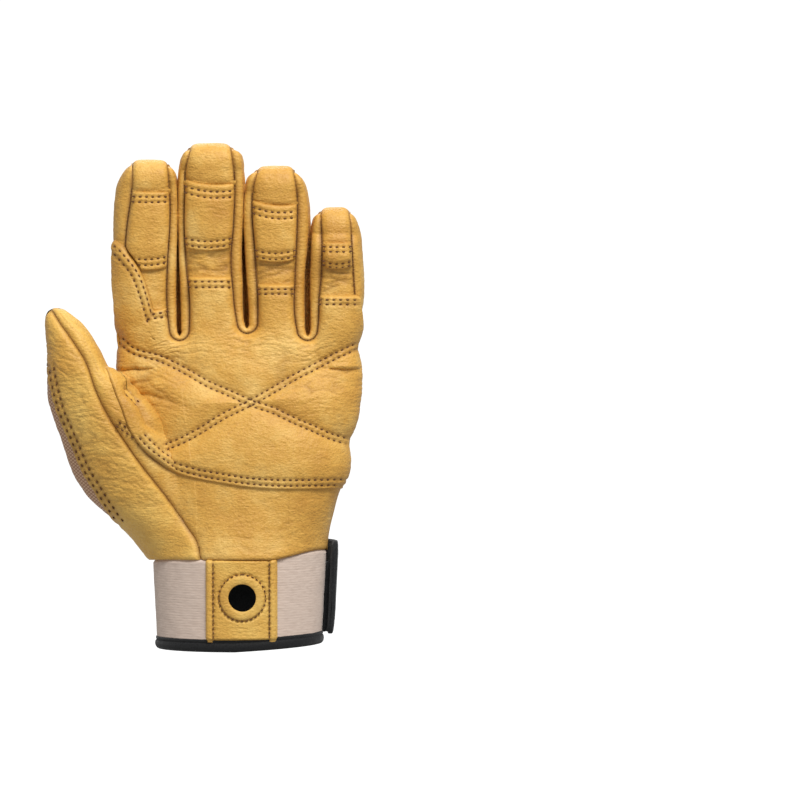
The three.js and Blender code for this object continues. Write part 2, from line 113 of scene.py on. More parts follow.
def bell(value, width, power=2):
    """1 at 0, falling to both sides as e to minus (value / width) to the power."""
    return np.exp(-(value / width)**power)


def side_of(x, left, right):
    """Where x lies between left and right, from -1 to 1."""
    return (x - (left + right) / 2) / ((right - left) / 2)


def smooth_max(a, b, reach):
    """The larger of a and b, rounded by a parabola where they differ by less than reach."""
    near = np.clip(1 - np.abs(a - b) / reach, 0, 1)
    return np.maximum(a, b) + near * near * reach / 4


def crown(side, power):
    """Height of a super-ellipse of that power at side, from -1 to 1, and a steep fall outside it."""
    inside = np.clip(1 - np.abs(side)**power, 0, 1)**(1 / power)
    return inside - 8 * np.clip(np.abs(side) - 1, 0, None)


def lattice_noise(u, v, seed):
    """Gradient noise: at each whole-number corner a fixed random slope, blended by a quintic S."""
    rng = np.random.default_rng(seed)
    angle = rng.uniform(0, 2 * np.pi, 4096)
    order = rng.permutation(4096)
    iu = np.floor(u).astype(int)
    iv = np.floor(v).astype(int)
    fu = u - iu
    fv = v - iv

    def corner(du, dv):
        pick = angle[(order[(iu + du) & 4095] + (iv + dv) * 57) & 4095]
        return np.cos(pick) * (fu - du) + np.sin(pick) * (fv - dv)

    su = fu**3 * (fu * (6 * fu - 15) + 10)
    sv = fv**3 * (fv * (6 * fv - 15) + 10)
    return 1.4 * mix(mix(corner(0, 0), corner(1, 0), su), mix(corner(0, 1), corner(1, 1), su), sv)


def creases(x, z, angle, long, short, seed):
    """Sharp little valleys, from -1 to 0, along a direction at that angle in degrees to X."""
    turn = math.radians(angle)
    along = x * math.cos(turn) + z * math.sin(turn)
    over = -x * math.sin(turn) + z * math.cos(turn)
    sway = lattice_noise(along / (2.2 * long), over / (3 * short), seed + 1)
    value = lattice_noise(along / long, over / short + 1.1 * sway, seed)
    return -np.clip(1 - 3.2 * np.abs(value), 0, 1)**1.5


def polyline(x, z, points):
    """Distance from each (x, z) to a polyline, and how far along it the nearest point lies."""
    points = np.asarray(points, float)
    start = points[:-1]
    step = points[1:] - start
    length = np.hypot(step[:, 0], step[:, 1])
    before = np.concatenate([[0], np.cumsum(length)[:-1]])
    best = np.full(np.shape(x), 1e9)
    along = np.zeros(np.shape(x))
    for (px, pz), (dx, dz), size, base in zip(start, step, length, before):
        t = np.clip(((x - px) * dx + (z - pz) * dz) / size**2, 0, 1)
        gap = np.hypot(x - px - t * dx, z - pz - t * dz)
        nearer = gap < best
        best = np.where(nearer, gap, best)
        along = np.where(nearer, base + t * size, along)
    return best, along


def gap_to(x, z, line):
    """Distance from each (x, z) to a line."""
    return polyline(x, z, line)[0]


def run_along(points):
    """How far along a line each of its points lies."""
    step = np.diff(points, axis=0)
    size = np.hypot(*step.T) if step.shape[1] == 2 else np.linalg.norm(step, axis=1)
    return np.concatenate([[0], np.cumsum(size)])


def unit(vectors):
    """The vectors scaled to length 1."""
    return vectors / np.maximum(np.linalg.norm(vectors, axis=-1, keepdims=True), 1e-6)


def rounded(points, step=1.2):
    """A smooth curve through a few (x, z) points, sampled about every step millimetres."""
    points = np.asarray(points, float)
    run = run_along(points)
    at = np.linspace(0, run[-1], max(int(run[-1] / step), 2) + 1)
    return np.stack([spline(at, run, points[:, 0]), spline(at, run, points[:, 1])], axis=1)


def beside(points, gap):
    """A curve moved sideways by gap, to the left of its direction."""
    points = np.asarray(points, float)
    run = np.gradient(points, axis=0)
    run /= np.hypot(run[:, 0], run[:, 1])[:, None]
    return points + gap * np.stack([-run[:, 1], run[:, 0]], axis=1)


# Forms of the hand: sections over height z
thumb_left = table([
    (41.4, -40.9), (48.8, -46.7), (56.1, -53.3), (63.5, -62.8), (70.8, -70.4), (78.2, -75.3),
    (85.6, -78.5),
    (92.9, -81), (100.3, -83.6), (107.6, -86.2), (115, -88.2), (122.4, -88.6), (137.1, -87.9),
    (144.4, -88.5), (150.5, -88.7), (154.5, -88), (156.5, -86.8), (157.4, -85.2)])
thumb_right = table([
    (41.4, -26), (56, -23.3), (70, -24.2), (80, -26.7), (92.4, -32.5), (105, -38), (113, -43),
    (120, -49), (124, -53.4), (127, -57.2), (129.7, -60.2), (133.4, -62.3), (137.1, -64),
    (140.8, -66.2), (144.4, -68.3),
    (148.1, -71), (151.8, -74.4), (155.5, -79), (156.8, -81.2), (157.4, -83.4)])
thumb_middle = table([
    (41.4, 0), (48.8, -0.8), (56, -1.9), (63.4, -3.4), (70.7, -5.1), (79.7, -7.2), (92.4, -10.5),
    (105, -13.7), (115, -15.6), (125, -17.3), (134, -18.4), (144, -19), (157.4, -19)])
thumb_half = table([
    (41.4, 14.3), (48.8, 17), (56, 18.7), (63.4, 19.4), (70.7, 19.4), (79.7, 19), (92, 18), (105, 16.7),
    (115, 15.5), (125, 14.3), (134, 12.9), (144, 10.7), (150, 8.6), (154.5, 5.6), (156.5, 3.4),
    (157.4, 1.6)])
palm_left = table([
    (41.4, -40.8), (60, -41.6), (80, -42.5), (100, -44), (112, -48.8), (119, -53.5), (124, -55.6),
    (127, -55.6), (130, -54.8), (137.1, -55.2), (144.4, -55.6), (159.2, -56.5), (174.8, -57.4)])
palm_right = table([
    (41.4, 40.2), (48.8, 40.2), (56.1, 41.2), (63.5, 43), (70.8, 44.9), (78.2, 47.6), (85.6, 49),
    (92.9, 49.8), (104, 51.8), (115, 53.2), (126, 54.1), (140.8, 54.6), (151.8, 55.4), (160, 56.6)])
palm_front = table([
    (41.4, 28.5), (50.8, 26.4), (62.4, 24.7), (79, 23.8), (98, 22.2), (115, 19.6), (127.5, 16.7),
    (138, 14.2), (146, 12.4), (155, 10.2), (165, 6)])
palm_back = table([
    (41.4, 28.5), (50.8, 25.6), (62.4, 22.2), (79, 18.9), (98, 16.6), (115, 15.3), (127.5, 13.8),
    (138, 12.7), (150, 11.5), (160, 8)])

# Fingers: outer edges and the two front seams as (z, x), all up to the tip
FINGERS = {
    "index": {
        "tip": 225.2,
        "left": [(120, -55.6), (144.4, -55.6), (159, -56.5), (174.8, -57.4), (184, -57.6), (194, -57.8),
                 (207, -57.1), (214.4, -55.9), (218, -54.2), (221.7, -51.9), (223.6, -50.4)],
        "right": [(120, -27.8), (145, -27.9), (180, -28.4), (212, -28.6), (217, -29.1), (220.5, -30.2),
                  (223.4, -32.2)],
        "seam_left": [(146, -52.5), (190.4, -52.7), (198.7, -51.7), (204, -50.8), (212, -49.9),
                      (224, -49.4)],
        "seam_right": [(146.5, -31.9), (149, -32.2), (182, -32.4), (193, -31.6), (210, -31.5),
                       (224, -32.6)],
        "cap": 211.4, "cap_rows": (208.6, 206.2), "pad": 174.8, "pad_rows": (180.3, 177.6),
    },
    "middle": {
        "tip": 232.7,
        "left": [(125, -27.4), (149, -27.9), (180, -28.3), (215, -28.2), (222, -27.5), (226.5, -26.4),
                 (229.5, -25.1), (231, -23.8)],
        "right": [(125, 2.6), (149, 2.9), (165, 2.4), (180, 1.7), (220, 1.9), (225.4, 1.4), (229, 0),
                  (231, -2.4)],
        "seam_left": [(146.5, -23.4), (155, -23.3), (165, -23.8), (176, -25), (190, -26), (210, -25.9),
                      (225, -25), (231, -23.2)],
        "seam_right": [(150.5, -0.9), (155, -1.6), (165, -2.5), (177, -3.5), (198, -2.1), (221, -2.1),
                       (231, -3.6)],
        "cap": 215.4, "cap_rows": (211.6, 208.8), "pad": 183.8, "pad_rows": (188.6, 185.8),
    },
    "ring": {
        "tip": 222.3,
        "left": [(125, 3), (149, 3.3), (165, 2.7), (180, 2.1), (210, 2.2), (214, 3), (218, 4.4),
                 (220.5, 6.6)],
        "right": [(125, 31), (146, 31.2), (176, 31.1), (192, 32.3), (205, 31.9), (210.5, 31),
                  (214.4, 29.8),
                  (218, 27.5), (220.5, 24.9)],
        "seam_left": [(150.5, 8.1), (160, 8), (173, 7.2), (187.7, 6.2), (199, 5.3), (210, 5.4),
                      (216, 6.3), (221, 8)],
        "seam_right": [(146.5, 26.9), (150, 26.2), (171, 26), (180, 26.4), (193, 26.9), (210, 26.9),
                       (221, 25.2)],
        "cap": 205.8, "cap_rows": (202, 199.2), "pad": 178.5, "pad_rows": (183.1, 180.3),
    },
    "little": {
        "tip": 203.2,
        "left": [(125, 31.5), (146, 31.7), (170, 31.5), (182, 32.2), (192, 32.9), (196, 33.4),
                 (199.6, 34.5),
                 (201.5, 36)],
        "right": [(120, 54), (140.8, 54.6), (151.8, 55.4), (162, 56.9), (170, 57.1), (182, 56.3),
                  (192.3, 55.3),
                  (196, 54.2), (199.6, 52.7), (201.5, 51.4)],
        "seam_left": [(146.5, 35.4), (150, 35.8), (163, 36.2), (170, 37), (202, 37.1)],
        "seam_right": [(148, 54.8), (156, 54.3), (171, 53.1), (188, 52.2), (197, 51.6), (202, 50.7)],
        "cap": 188.1, "cap_rows": (185.4, 183.4), "pad": 175.3, "pad_rows": (178.4, 176.6),
    },
}
ORDER = ["index", "middle", "ring", "little"]
DOME = 12.0
# Slots: centre line x at the lower end, bottom of the U seam, end of the open slit
SLOTS = [
    {"x": -27.6, "bottom": 142.6, "slit": 145.2},
    {"x": 3.4, "bottom": 145.9, "slit": 148.8},
    {"x": 31.4, "bottom": 142.6, "slit": 145.2},
]
SLOT_ROUND = 4.6

for name in ORDER:
    finger = FINGERS[name]
    for key in ("left", "right", "seam_left", "seam_right"):
        finger[key] = table(finger[key])
    finger["dome"] = finger["tip"] - DOME


def joined(low, high):
    """A function of z that follows low up to the knuckles and high from there on."""
    return lambda z: low(z) + (high(z) - low(z)) * smooth_step(140, 150, z)


palm_left = FINGERS["index"]["left"] = joined(palm_left, FINGERS["index"]["left"])
palm_right = FINGERS["little"]["right"] = joined(palm_right, FINGERS["little"]["right"])


def curl(z):
    """How far forward a finger has bent at a height: a power of the way from knuckle to hand top."""
    return FINGER_CURL * np.clip((z - KNUCKLE_Z) / (HAND_TOP_Z - KNUCKLE_Z), 0, None)**1.6


def finger_half(finger, z):
    """Half thickness of a finger over height, thinning a little towards the tip."""
    return spline(z, [120, 146, 170, 190, finger["dome"]], [12.6, 12.7, 12.4, 12, 11.2])


def finger_depth(finger, x, z):
    """Depth of a finger's crowned section at x and z, from its middle surface."""
    level = np.minimum(z, finger["dome"] - 2)
    side = side_of(x, finger["left"](level), finger["right"](level))
    return finger_half(finger, z) * crown(side, 2.5)


def palm_depths(x, z):
    """Front and back depth of the palm at x and z: super-ellipse sections about its middle surface."""
    height = crown(side_of(x, palm_left(z), palm_right(z)), 2 + 0.5 * smooth_step(41, 75, z))
    front = palm_front(z)
    back = palm_back(z)
    middle = (front - back) / 2
    half = (front + back) / 2
    fade = 40 * np.clip((z - 166) / 10, 0, None)
    return middle + half * height - fade, -middle + half * height - fade


def thumb_depths(x, z):
    """Front and back depth of the thumb at x and z."""
    height = thumb_half(z) * crown(side_of(x, thumb_left(z), thumb_right(z)), 2.15)
    middle = thumb_middle(z)
    fade = 60 * np.clip(z - THUMB_TOP_Z, 0, None)
    return height - middle - fade, height + middle - fade


def hand_depth(x, z, back):
    """How far the palm side, or the back, stands out: fingers, palm and thumb joined by smooth maxima."""
    side = int(back)
    bend = (1, -1)[side] * curl(z)
    fingers = np.full(np.shape(x), -60.0)
    for finger in FINGERS.values():
        fingers = np.maximum(fingers, finger_depth(finger, x, z) + bend)
    fingers = fingers - 60 * np.clip((130 - z) / 10, 0, None)
    hand = smooth_max(fingers, palm_depths(x, z)[side], (3.5, 5)[side])
    return smooth_max(hand, thumb_depths(x, z)[side], (6, 8)[side])


def on_hand(x, z, back):
    """Points on the hand's front, or back where back is true, with their outward directions.

    The point is (x, depth, z); the direction is the depth's own slope turned outward.
    """
    tiny = 0.05
    sign = np.where(back, 1.0, -1.0)

    def depth(px, pz):
        return np.where(back, hand_depth(px, pz, True), hand_depth(px, pz, False))

    y = sign * depth(x, z)
    slope_x = (depth(x + tiny, z) - depth(x - tiny, z)) / (2 * tiny)
    slope_z = (depth(x, z + tiny) - depth(x, z - tiny)) / (2 * tiny)
    return np.stack([x, y, z], axis=-1), unit(np.stack([-slope_x, sign, -slope_z], axis=-1))


def through_lens(points):
    """Moves each point along its own line of sight from the picture plane y = 0 to its true depth."""
    scale = (EYE_BACK + points[..., 1]) / EYE_BACK
    moved = points.copy()
    moved[..., 0] = EYE_X + (points[..., 0] - EYE_X) * scale
    moved[..., 2] = EYE_Z + (points[..., 2] - EYE_Z) * scale
    return moved


# Seam, stitch and edge lines as (x, z), from the thumb's side to the little finger's
THUMB_SEAM = rounded([
    (-17.2, 35), (-18.2, 41.2), (-20, 49.7), (-24.6, 56.6), (-33.4, 70.4), (-45.3, 85.1),
    (-54.1, 97.5), (-60, 106.7),
    (-66.5, 120.1), (-70.2, 132), (-76.6, 142.1), (-84, 152.4), (-87, 157.2)])
MESH_SEAM = rounded([
    (-56.2, 56.7), (-58.5, 59.3), (-61.7, 63.9), (-65, 68.9), (-68.5, 74.6), (-71.7, 79.7), (-74.7, 86.1),
    (-77.5, 92.6), (-80.2, 99.2), (-83.3, 105.9), (-86.3, 115.3), (-88.5, 125), (-89.3, 130.6)])
FORK_CREASE = rounded([(-54.4, 122.8), (-47.5, 114.4), (-44.5, 109.1), (-43, 104.6), (-38.4, 100),
                       (-33, 97.7)])
FORK_FOLDS = [
    rounded([(-47, 117.6), (-40, 117), (-34.5, 115.2), (-23, 110.6), (-15.5, 104.6)]),
    rounded([(-54, 121.6), (-46, 122.8), (-36.8, 125.1)]),
    rounded([(-55, 127.5), (-48.5, 129.2), (-41, 127.6)])]
OVERLAY_LOW = rounded([
    (-65.4, 141.4), (-62.8, 132.5), (-59.1, 121.4), (-54.7, 110.4), (-49.9, 99), (-45.3, 92.9),
    (-38, 86.5),
    (-31.5, 82.2), (-20.9, 78.7), (-9, 76.4), (3.5, 74.5), (16.3, 73.6), (29.2, 73.6), (50, 74.3)])
CROSS_DOWN = rounded([
    (-55, 142.6), (-50.4, 138.5), (-36.1, 133.9), (-26.5, 129.3), (-14.5, 122.4), (-3.9, 117.8),
    (5.3, 113.6), (16.3, 109.9), (24.6, 105.8), (33.4, 102.1), (41.6, 98.4), (49, 96.1)])
CROSS_UP = rounded([
    (53.6, 139.4), (46.2, 136.2), (33.4, 129.7), (24.6, 125.1), (16.3, 120.1), (5.8, 114.1),
    (-0.7, 110.9), (-9, 106.7), (-17.7, 101.2), (-26, 96.6), (-34.7, 92.9)])
WRAP_POINTS = [
    (-61.5, 193.2), (-58, 190), (-53.5, 185.8), (-50, 181.4), (-45.3, 174.3), (-42, 165.3),
    (-39.5, 156.4)]
WRAP_EDGE = rounded(WRAP_POINTS)
WRAP_FOOT = rounded([(-39.5, 156.4), (-36, 157.2), (-31, 158.3)])
WEB_BAR = rounded([(-57.5, 102.5), (-46.6, 94.8)])


def of_height(line):
    """x as a function of z along a line whose z only rises or only falls."""
    line = np.asarray(line)
    if line[0, 1] > line[-1, 1]:
        line = line[::-1]
    return lambda z: np.interp(z, line[:, 1], line[:, 0])


thumb_seam_x = of_height(THUMB_SEAM)
mesh_seam_x = of_height(MESH_SEAM)
web_edge_x = of_height(OVERLAY_LOW[OVERLAY_LOW[:, 1] > 92])


def overlay_low_z(x):
    """Height of the overlay's lower edge over x."""
    return np.interp(x, OVERLAY_LOW[:, 0], OVERLAY_LOW[:, 1])


def fork_x(z):
    """Where the palm's leather meets the thumb's: a line from the sewn bar up to where they part."""
    return np.interp(z, [CROTCH_Z, FORK_Z], [CROTCH_X, FORK_X])


def slot_sides(slot, z):
    """The U seam's left and right x at a height: the two finger seams, drawn together at the bottom."""
    left = FINGERS[ORDER[slot]]["seam_right"]
    right = FINGERS[ORDER[slot + 1]]["seam_left"]
    data = SLOTS[slot]
    up = np.clip((z - data["bottom"]) / SLOT_ROUND, 0, 1)
    open_share = np.sqrt(1 - (1 - up)**2)
    wide_z = np.maximum(z, data["bottom"] + SLOT_ROUND)
    lean = smooth_step(60, 140, z)
    middle = data["x"] * (0.72 + 0.28 * lean)
    return middle + open_share * (left(wide_z) - middle), middle + open_share * (right(wide_z) - middle)


def slot_line(slot, top):
    """The U seam as one line of (x, z), down the left side and up the right."""
    bottom = SLOTS[slot]["bottom"]
    turn = np.linspace(0, np.pi / 2, 12)
    low = bottom + SLOT_ROUND * (1 - np.cos(turn))
    z = np.concatenate([low, np.arange(low[-1] + 1.5, top, 1.5)])
    left, right = slot_sides(slot, z)
    return np.concatenate([np.stack([left, z], 1)[::-1], np.stack([right, z], 1)[1:]])


SLOT_LINES = [slot_line(k, 205) for k in range(3)]


# Relief of the leather: how far a point moves out along its surface
def stitched(x, z, line, pitch=STITCH_PITCH, start=0.8):
    """A sewn row: a soft groove with a deeper pit at each stitch, and the leather puckered between."""
    gap, along = polyline(x, z, line)
    beat = 0.5 + 0.5 * np.cos(2 * np.pi * (along - start) / pitch)
    return -0.32 * bell(gap, 0.95) - 0.4 * beat * bell(gap, 0.7)


def sew(relief, x, z, lines, pitch=STITCH_PITCH):
    """The relief with every one of the sewn rows pressed into it."""
    for line in lines:
        relief = relief + stitched(x, z, line, pitch)
    return relief


def rolled_edge(gap, height, low=-0.8, round_over=1.2):
    """A cut edge's rise from low at gap 0 to height over a quarter round."""
    t = np.clip(gap / round_over, 0, 1)
    return low + (height - low) * np.sqrt(1 - (1 - t)**2)


def sewn_down(lift, gap, wide=1.6):
    """A panel turned in at a seam: its lift blends to the seam's floor, reached at gap 0."""
    return mix(lift, -SEAM_FLOOR, bell(np.clip(gap, 0, None), wide, 1.35))


def hide_relief(x, z, strength, seed):
    """Fine creases all over plus broad unevenness, in millimetres."""
    fine = 0.08 * lattice_noise(x / 4.2, z / 1.3, seed) + 0.1 * creases(x, z, -14, 6, 2.3, seed + 7)
    broad = 0.24 * lattice_noise(x / 13, z / 9, seed + 11) + 0.09 * lattice_noise(x / 5, z / 3.6, seed + 13)
    return strength * fine + broad


def painted_crease_shade(relief):
    """How much painted shade shows in a crease, from how deep the fine relief lies."""
    return np.clip((-relief - 0.1) / 1.5, 0, 0.45)


def painted_leather_shade(relief, seam=FAR, edge=FAR, dark=0.5, wide=0.5):
    """How much painted shade shows: in creases, beside a seam, and dark and wide along a cut edge."""
    return painted_crease_shade(relief) + 0.75 * bell(np.clip(seam, 0, None), 0.75) + dark * bell(edge, wide)


OVERLAY_ROWS = [beside(OVERLAY_LOW[OVERLAY_LOW[:, 1] < 97], gap) for gap in (2.0, 4.6)]
CROSS_ROWS = [beside(line, gap) for line in (CROSS_DOWN, CROSS_UP) for gap in (1.3, -1.3)]
WRAP_ROWS = [beside(rounded(WRAP_POINTS + [(-38.9, 154.4)]), -1.5),
             beside(rounded(WRAP_POINTS + [(-38.3, 152)]), -4.2)]
FOOT_ROWS = [rounded([(-40.4, 154.5), (-36, 155.3), (-32.6, 156)]),
             rounded([(-42.6, 152.2), (-38, 152.8), (-32.6, 153.7)])]
THUMB_ROWS = [beside(MESH_SEAM, gap) for gap in (-1.7, -4.0)]
BAR_ROWS = [beside(WEB_BAR, gap) for gap in (0.9, 3.1)]
FORK_ROWS = [rounded([(-52.4, 117.6), (-47.6, 113.2)]), rounded([(-51.0, 119.0), (-46.2, 114.6)])]
PALM_ROWS = CROSS_ROWS + OVERLAY_ROWS + WRAP_ROWS + FOOT_ROWS + FORK_ROWS
TONGUES = {"middle": (172.1, 169.6, 167.0), "ring": (168.6, 166.1, 163.9), "little": (163.5, 161.2, 159.1)}


def finger_row(name, z, sag=0.0, margin=0.0):
    """A row across a finger front at height z, its middle lower than its ends by about sag."""
    finger = FINGERS[name]
    left = float(finger["seam_left"](z)) + margin
    right = float(finger["seam_right"](z)) - margin
    across = np.linspace(-1, 1, 25)
    x = (left + right) / 2 + across * (right - left) / 2
    return np.stack([x, z + sag * (across**2 - 0.35)], axis=1)


CAP_SAG = {"index": 0.2, "middle": 1.6, "ring": 1.6, "little": 0.3}
CAP_LEAN = {"index": 0.0, "middle": -0.9, "ring": -0.9, "little": 0.0}
PAD_SAG = 1.6


def cap_row(name, z):
    """A row under a finger cap: sagging and, on the long fingers, lower towards the little finger."""
    row = finger_row(name, z, CAP_SAG[name], 1.0)
    row[:, 1] += CAP_LEAN[name] * np.linspace(-1, 1, len(row))
    return row


def pad_rows(name):
    """The rows that hold a pad: along its lower edge, then under the cap."""
    finger = FINGERS[name]
    low = [finger_row(name, z, PAD_SAG, 1.0) for z in finger["pad_rows"]]
    return low + [cap_row(name, z) for z in finger["cap_rows"]]


def wrap_z(x):
    """Height of the wrap's edge on the index finger over x."""
    return np.interp(x, WRAP_EDGE[:, 0], WRAP_EDGE[:, 1])


def between_seams(finger, x, z, margin=0):
    """Whether a point lies between a finger's two front seams, or outside them by less than margin."""
    return (x > finger["seam_left"](z) - margin) & (x < finger["seam_right"](z) + margin)


def cover_depth(x, z):
    """How far inside the overlay or a pad a point of the base leather lies, negative outside."""
    depth = np.full(np.shape(x), -9.0)
    for name in ORDER:
        finger = FINGERS[name]
        within = between_seams(finger, x, z, 1)
        under_pad = np.minimum(z - finger["pad"] - 1, finger["cap"] - z)
        depth = np.where(within, np.maximum(depth, under_pad), depth)
        top = wrap_z(x) if name == "index" else TONGUES[name][0]
        inside = np.minimum(z - overlay_low_z(x), top - z) - 0.8
        share = within | (z < KNUCKLE_Z + 2)
        depth = np.where(share, np.maximum(depth, inside), depth)
    return depth


def heel_gape(x, z):
    """Where the overlay's edge stands off the heel of the thumb, 1 at its middle."""
    return bell(np.hypot(x + 40, z - 88), 13)


def overlay_height(x, z):
    """Height of the overlay's skin: thicker where it stands off the heel of the thumb and along the web."""
    web = bell(np.hypot(x + 58, z - 116), 16)
    return COVER + 1.5 * heel_gape(x, z) + 0.6 * web


def quilting(x, z):
    """The palm's padding swells between the crossing rows and sinks at the fold that runs from the fork."""
    cross = np.minimum(polyline(x, z, CROSS_DOWN)[0], polyline(x, z, CROSS_UP)[0])
    low = gap_to(x, z, OVERLAY_LOW)
    nearest = np.minimum(np.clip(cross - 1.5, 0, None), low + 1)
    gap, along = polyline(x, z, FORK_CREASE)
    fold = smooth_step(0, 5, along) * (1 - smooth_step(22, 36, along))
    out = 2.5 * (1 - bell(nearest, 6.0, 1.25)) - 0.9 - 3.2 * fold * bell(gap, 2.6, 1.4)
    for line, deep in zip(FORK_FOLDS, (1.3, 1.0, 0.9)):
        gap, along = polyline(x, z, line)
        out = out - deep * bell(gap, 2.4, 1.5) * bell(np.clip(along - 5, 0, None), 14.0)
    return out


def palm_creases(x, z):
    """Sewn rows of the palm overlay, and its creases near the forks."""
    out = sew(hide_relief(x, z, 0.9, 5), x, z, PALM_ROWS)
    fork = bell(np.hypot(x + 38, (z - 120) * 0.9), 13)
    out = out + 0.4 * fork * creases(x, z, -28, 16, 3.6, 41) + 0.3 * fork * creases(x, z, 12, 12, 2.6, 42)
    for line, deep in zip([FORK_CREASE] + FORK_FOLDS, (0.7, 0.4, 0.3, 0.3)):
        gap, along = polyline(x, z, line)
        out = out - deep * bell(gap, 0.9) * smooth_step(0, 5, along) * bell(along, 20, 4)
    side = bell(np.hypot((x - 36) * 0.8, z - 122), 17)
    out = out + 0.35 * side * creases(x, z, 8, 12, 3.0, 43)
    for slot in SLOTS:
        near = bell(np.hypot((x - slot["x"]) * 0.6, z - slot["bottom"] + 5), 8)
        out = out + 0.5 * near * creases(x, z, 5, 8, 2.6, 47)
    return out


def overlay_lift(x, z, edge, relief):
    """The overlay's skin: a rolled cut edge, then its height with quilting, sewn rows and creases."""
    gape = heel_gape(x, z)
    swell = (relief + quilting(x, z)) * smooth_step(0, 2, edge)
    return rolled_edge(edge, overlay_height(x, z), -0.8, 1.2 + 0.8 * gape) + swell


# Materials
def shade_tree(name):
    """A new material with its node tree, the shader and a helper that adds linked nodes."""
    material = bpy.data.materials.new(name)
    material.use_nodes = True
    tree = material.node_tree
    shader = tree.nodes["Principled BSDF"]

    def add(kind, links=None, **settings):
        node = tree.nodes.new(kind)
        for key, value in settings.items():
            if key in node.bl_rna.properties:
                setattr(node, key, value)
            else:
                node.inputs[key.replace("_", " ")].default_value = value
        for socket, source in (links or {}).items():
            tree.links.new(source, node.inputs[socket])
        return node

    return material, tree, shader, add


def surface(tree, shader, colour, bump, sheen, specular):
    """Links colour and bump to the shader and sets its sheen and specular level."""
    tree.links.new(colour, shader.inputs["Base Color"])
    tree.links.new(bump.outputs["Normal"], shader.inputs["Normal"])
    shader.inputs["Sheen Weight"].default_value = sheen
    shader.inputs["Specular IOR Level"].default_value = specular


def ramp(add, source, stops):
    """A colour ramp of (position, colour) stops, read from a value."""
    node = add("ShaderNodeValToRGB", {"Fac": source})
    elements = node.color_ramp.elements
    while len(elements) < len(stops):
        elements.new(0.5)
    for element, (position, colour) in zip(elements, stops):
        element.position = position
        element.color = (*colour, 1)
    return node


def linear(red, green, blue):
    """An sRGB colour of 0 to 255 as the linear one that a shader takes."""
    values = np.array([red, green, blue]) / 255
    return tuple(np.where(values <= 0.04045, values / 12.92, ((values + 0.055) / 1.055)**2.4).tolist())


def leather_material(name, light, main, dark, painted_shade_colour):
    """Grained goatskin: blotchy tan, mixed towards a painted shade colour in creases, beside seams, along
    cut edges and under raised edges, with pebble grain and pores in the bump.
    """
    material, tree, shader, add = shade_tree(name)
    place = add("ShaderNodeTexCoord").outputs["Object"]
    blotch = add("ShaderNodeTexNoise", {"Vector": place}, Scale=42.0, Detail=5.0, Roughness=0.62)
    tone = ramp(add, blotch.outputs["Fac"], [(0.3, dark), (0.5, main), (0.72, light)])
    speck = add("ShaderNodeTexNoise", {"Vector": place}, Scale=900.0, Detail=3.0, Roughness=0.6)
    freckle = ramp(add, speck.outputs["Fac"], [(0.36, (0.8, 0.74, 0.66)), (0.52, (1, 1, 1))])
    mixed = add("ShaderNodeMix", data_type="RGBA", blend_type="MULTIPLY")
    mixed.inputs["Factor"].default_value = 0.5
    tree.links.new(tone.outputs["Color"], mixed.inputs["A"])
    tree.links.new(freckle.outputs["Color"], mixed.inputs["B"])
    # Painted shade: a point attribute of each leather piece sets how far the colour goes towards the shade
    # colour
    painted_shade = add("ShaderNodeAttribute", attribute_name="painted_shade")
    aged = add("ShaderNodeMix", data_type="RGBA", blend_type="MIX")
    tree.links.new(painted_shade.outputs["Fac"], aged.inputs["Factor"])
    tree.links.new(mixed.outputs["Result"], aged.inputs["A"])
    aged.inputs["B"].default_value = (*painted_shade_colour, 1)
    pebble = add("ShaderNodeTexVoronoi", {"Vector": place}, feature="SMOOTH_F1", Scale=1150.0,
                 Smoothness=0.6)
    flat = add("ShaderNodeMapping", {"Vector": place}, Scale=(1, 1, 2.1)).outputs["Vector"]
    wander = add("ShaderNodeTexNoise", {"Vector": flat}, Scale=520.0, Detail=3.0, Roughness=0.6)
    pebble_height = {"Height": pebble.outputs["Distance"]}
    pebble_bump = add("ShaderNodeBump", pebble_height, Strength=0.4, Distance=0.0003)
    pebble_bump.invert = True
    heights = {"Height": wander.outputs["Fac"], "Normal": pebble_bump.outputs["Normal"]}
    wander_bump = add("ShaderNodeBump", heights, Strength=0.7, Distance=0.00065)
    surface(tree, shader, aged.outputs["Result"], wander_bump, 0.03, 0.42)
    gloss = add("ShaderNodeMapRange", {"Value": blotch.outputs["Fac"]}, To_Min=0.46, To_Max=0.6)
    tree.links.new(gloss.outputs["Result"], shader.inputs["Roughness"])
    shader.inputs["Sheen Roughness"].default_value = 0.5
    return material


def cloth_material(name, base, groove, scale, stretch, strength, rough):
    """A cloth of fine threads: noise on object coordinates, drawn out along some axes by stretch."""
    material, tree, shader, add = shade_tree(name)
    place = add("ShaderNodeTexCoord").outputs["Object"]
    drawn = add("ShaderNodeMapping", {"Vector": place}, Scale=stretch).outputs["Vector"]
    wave = add("ShaderNodeTexNoise", {"Vector": drawn}, Scale=scale, Detail=3.0, Roughness=0.55)
    tone = ramp(add, wave.outputs["Fac"], [(0.32, groove), (0.62, base)])
    bump = add("ShaderNodeBump", {"Height": wave.outputs["Fac"]}, Strength=strength, Distance=0.0005)
    surface(tree, shader, tone.outputs["Color"], bump, 0.15, 0.25)
    shader.inputs["Roughness"].default_value = rough
    return material


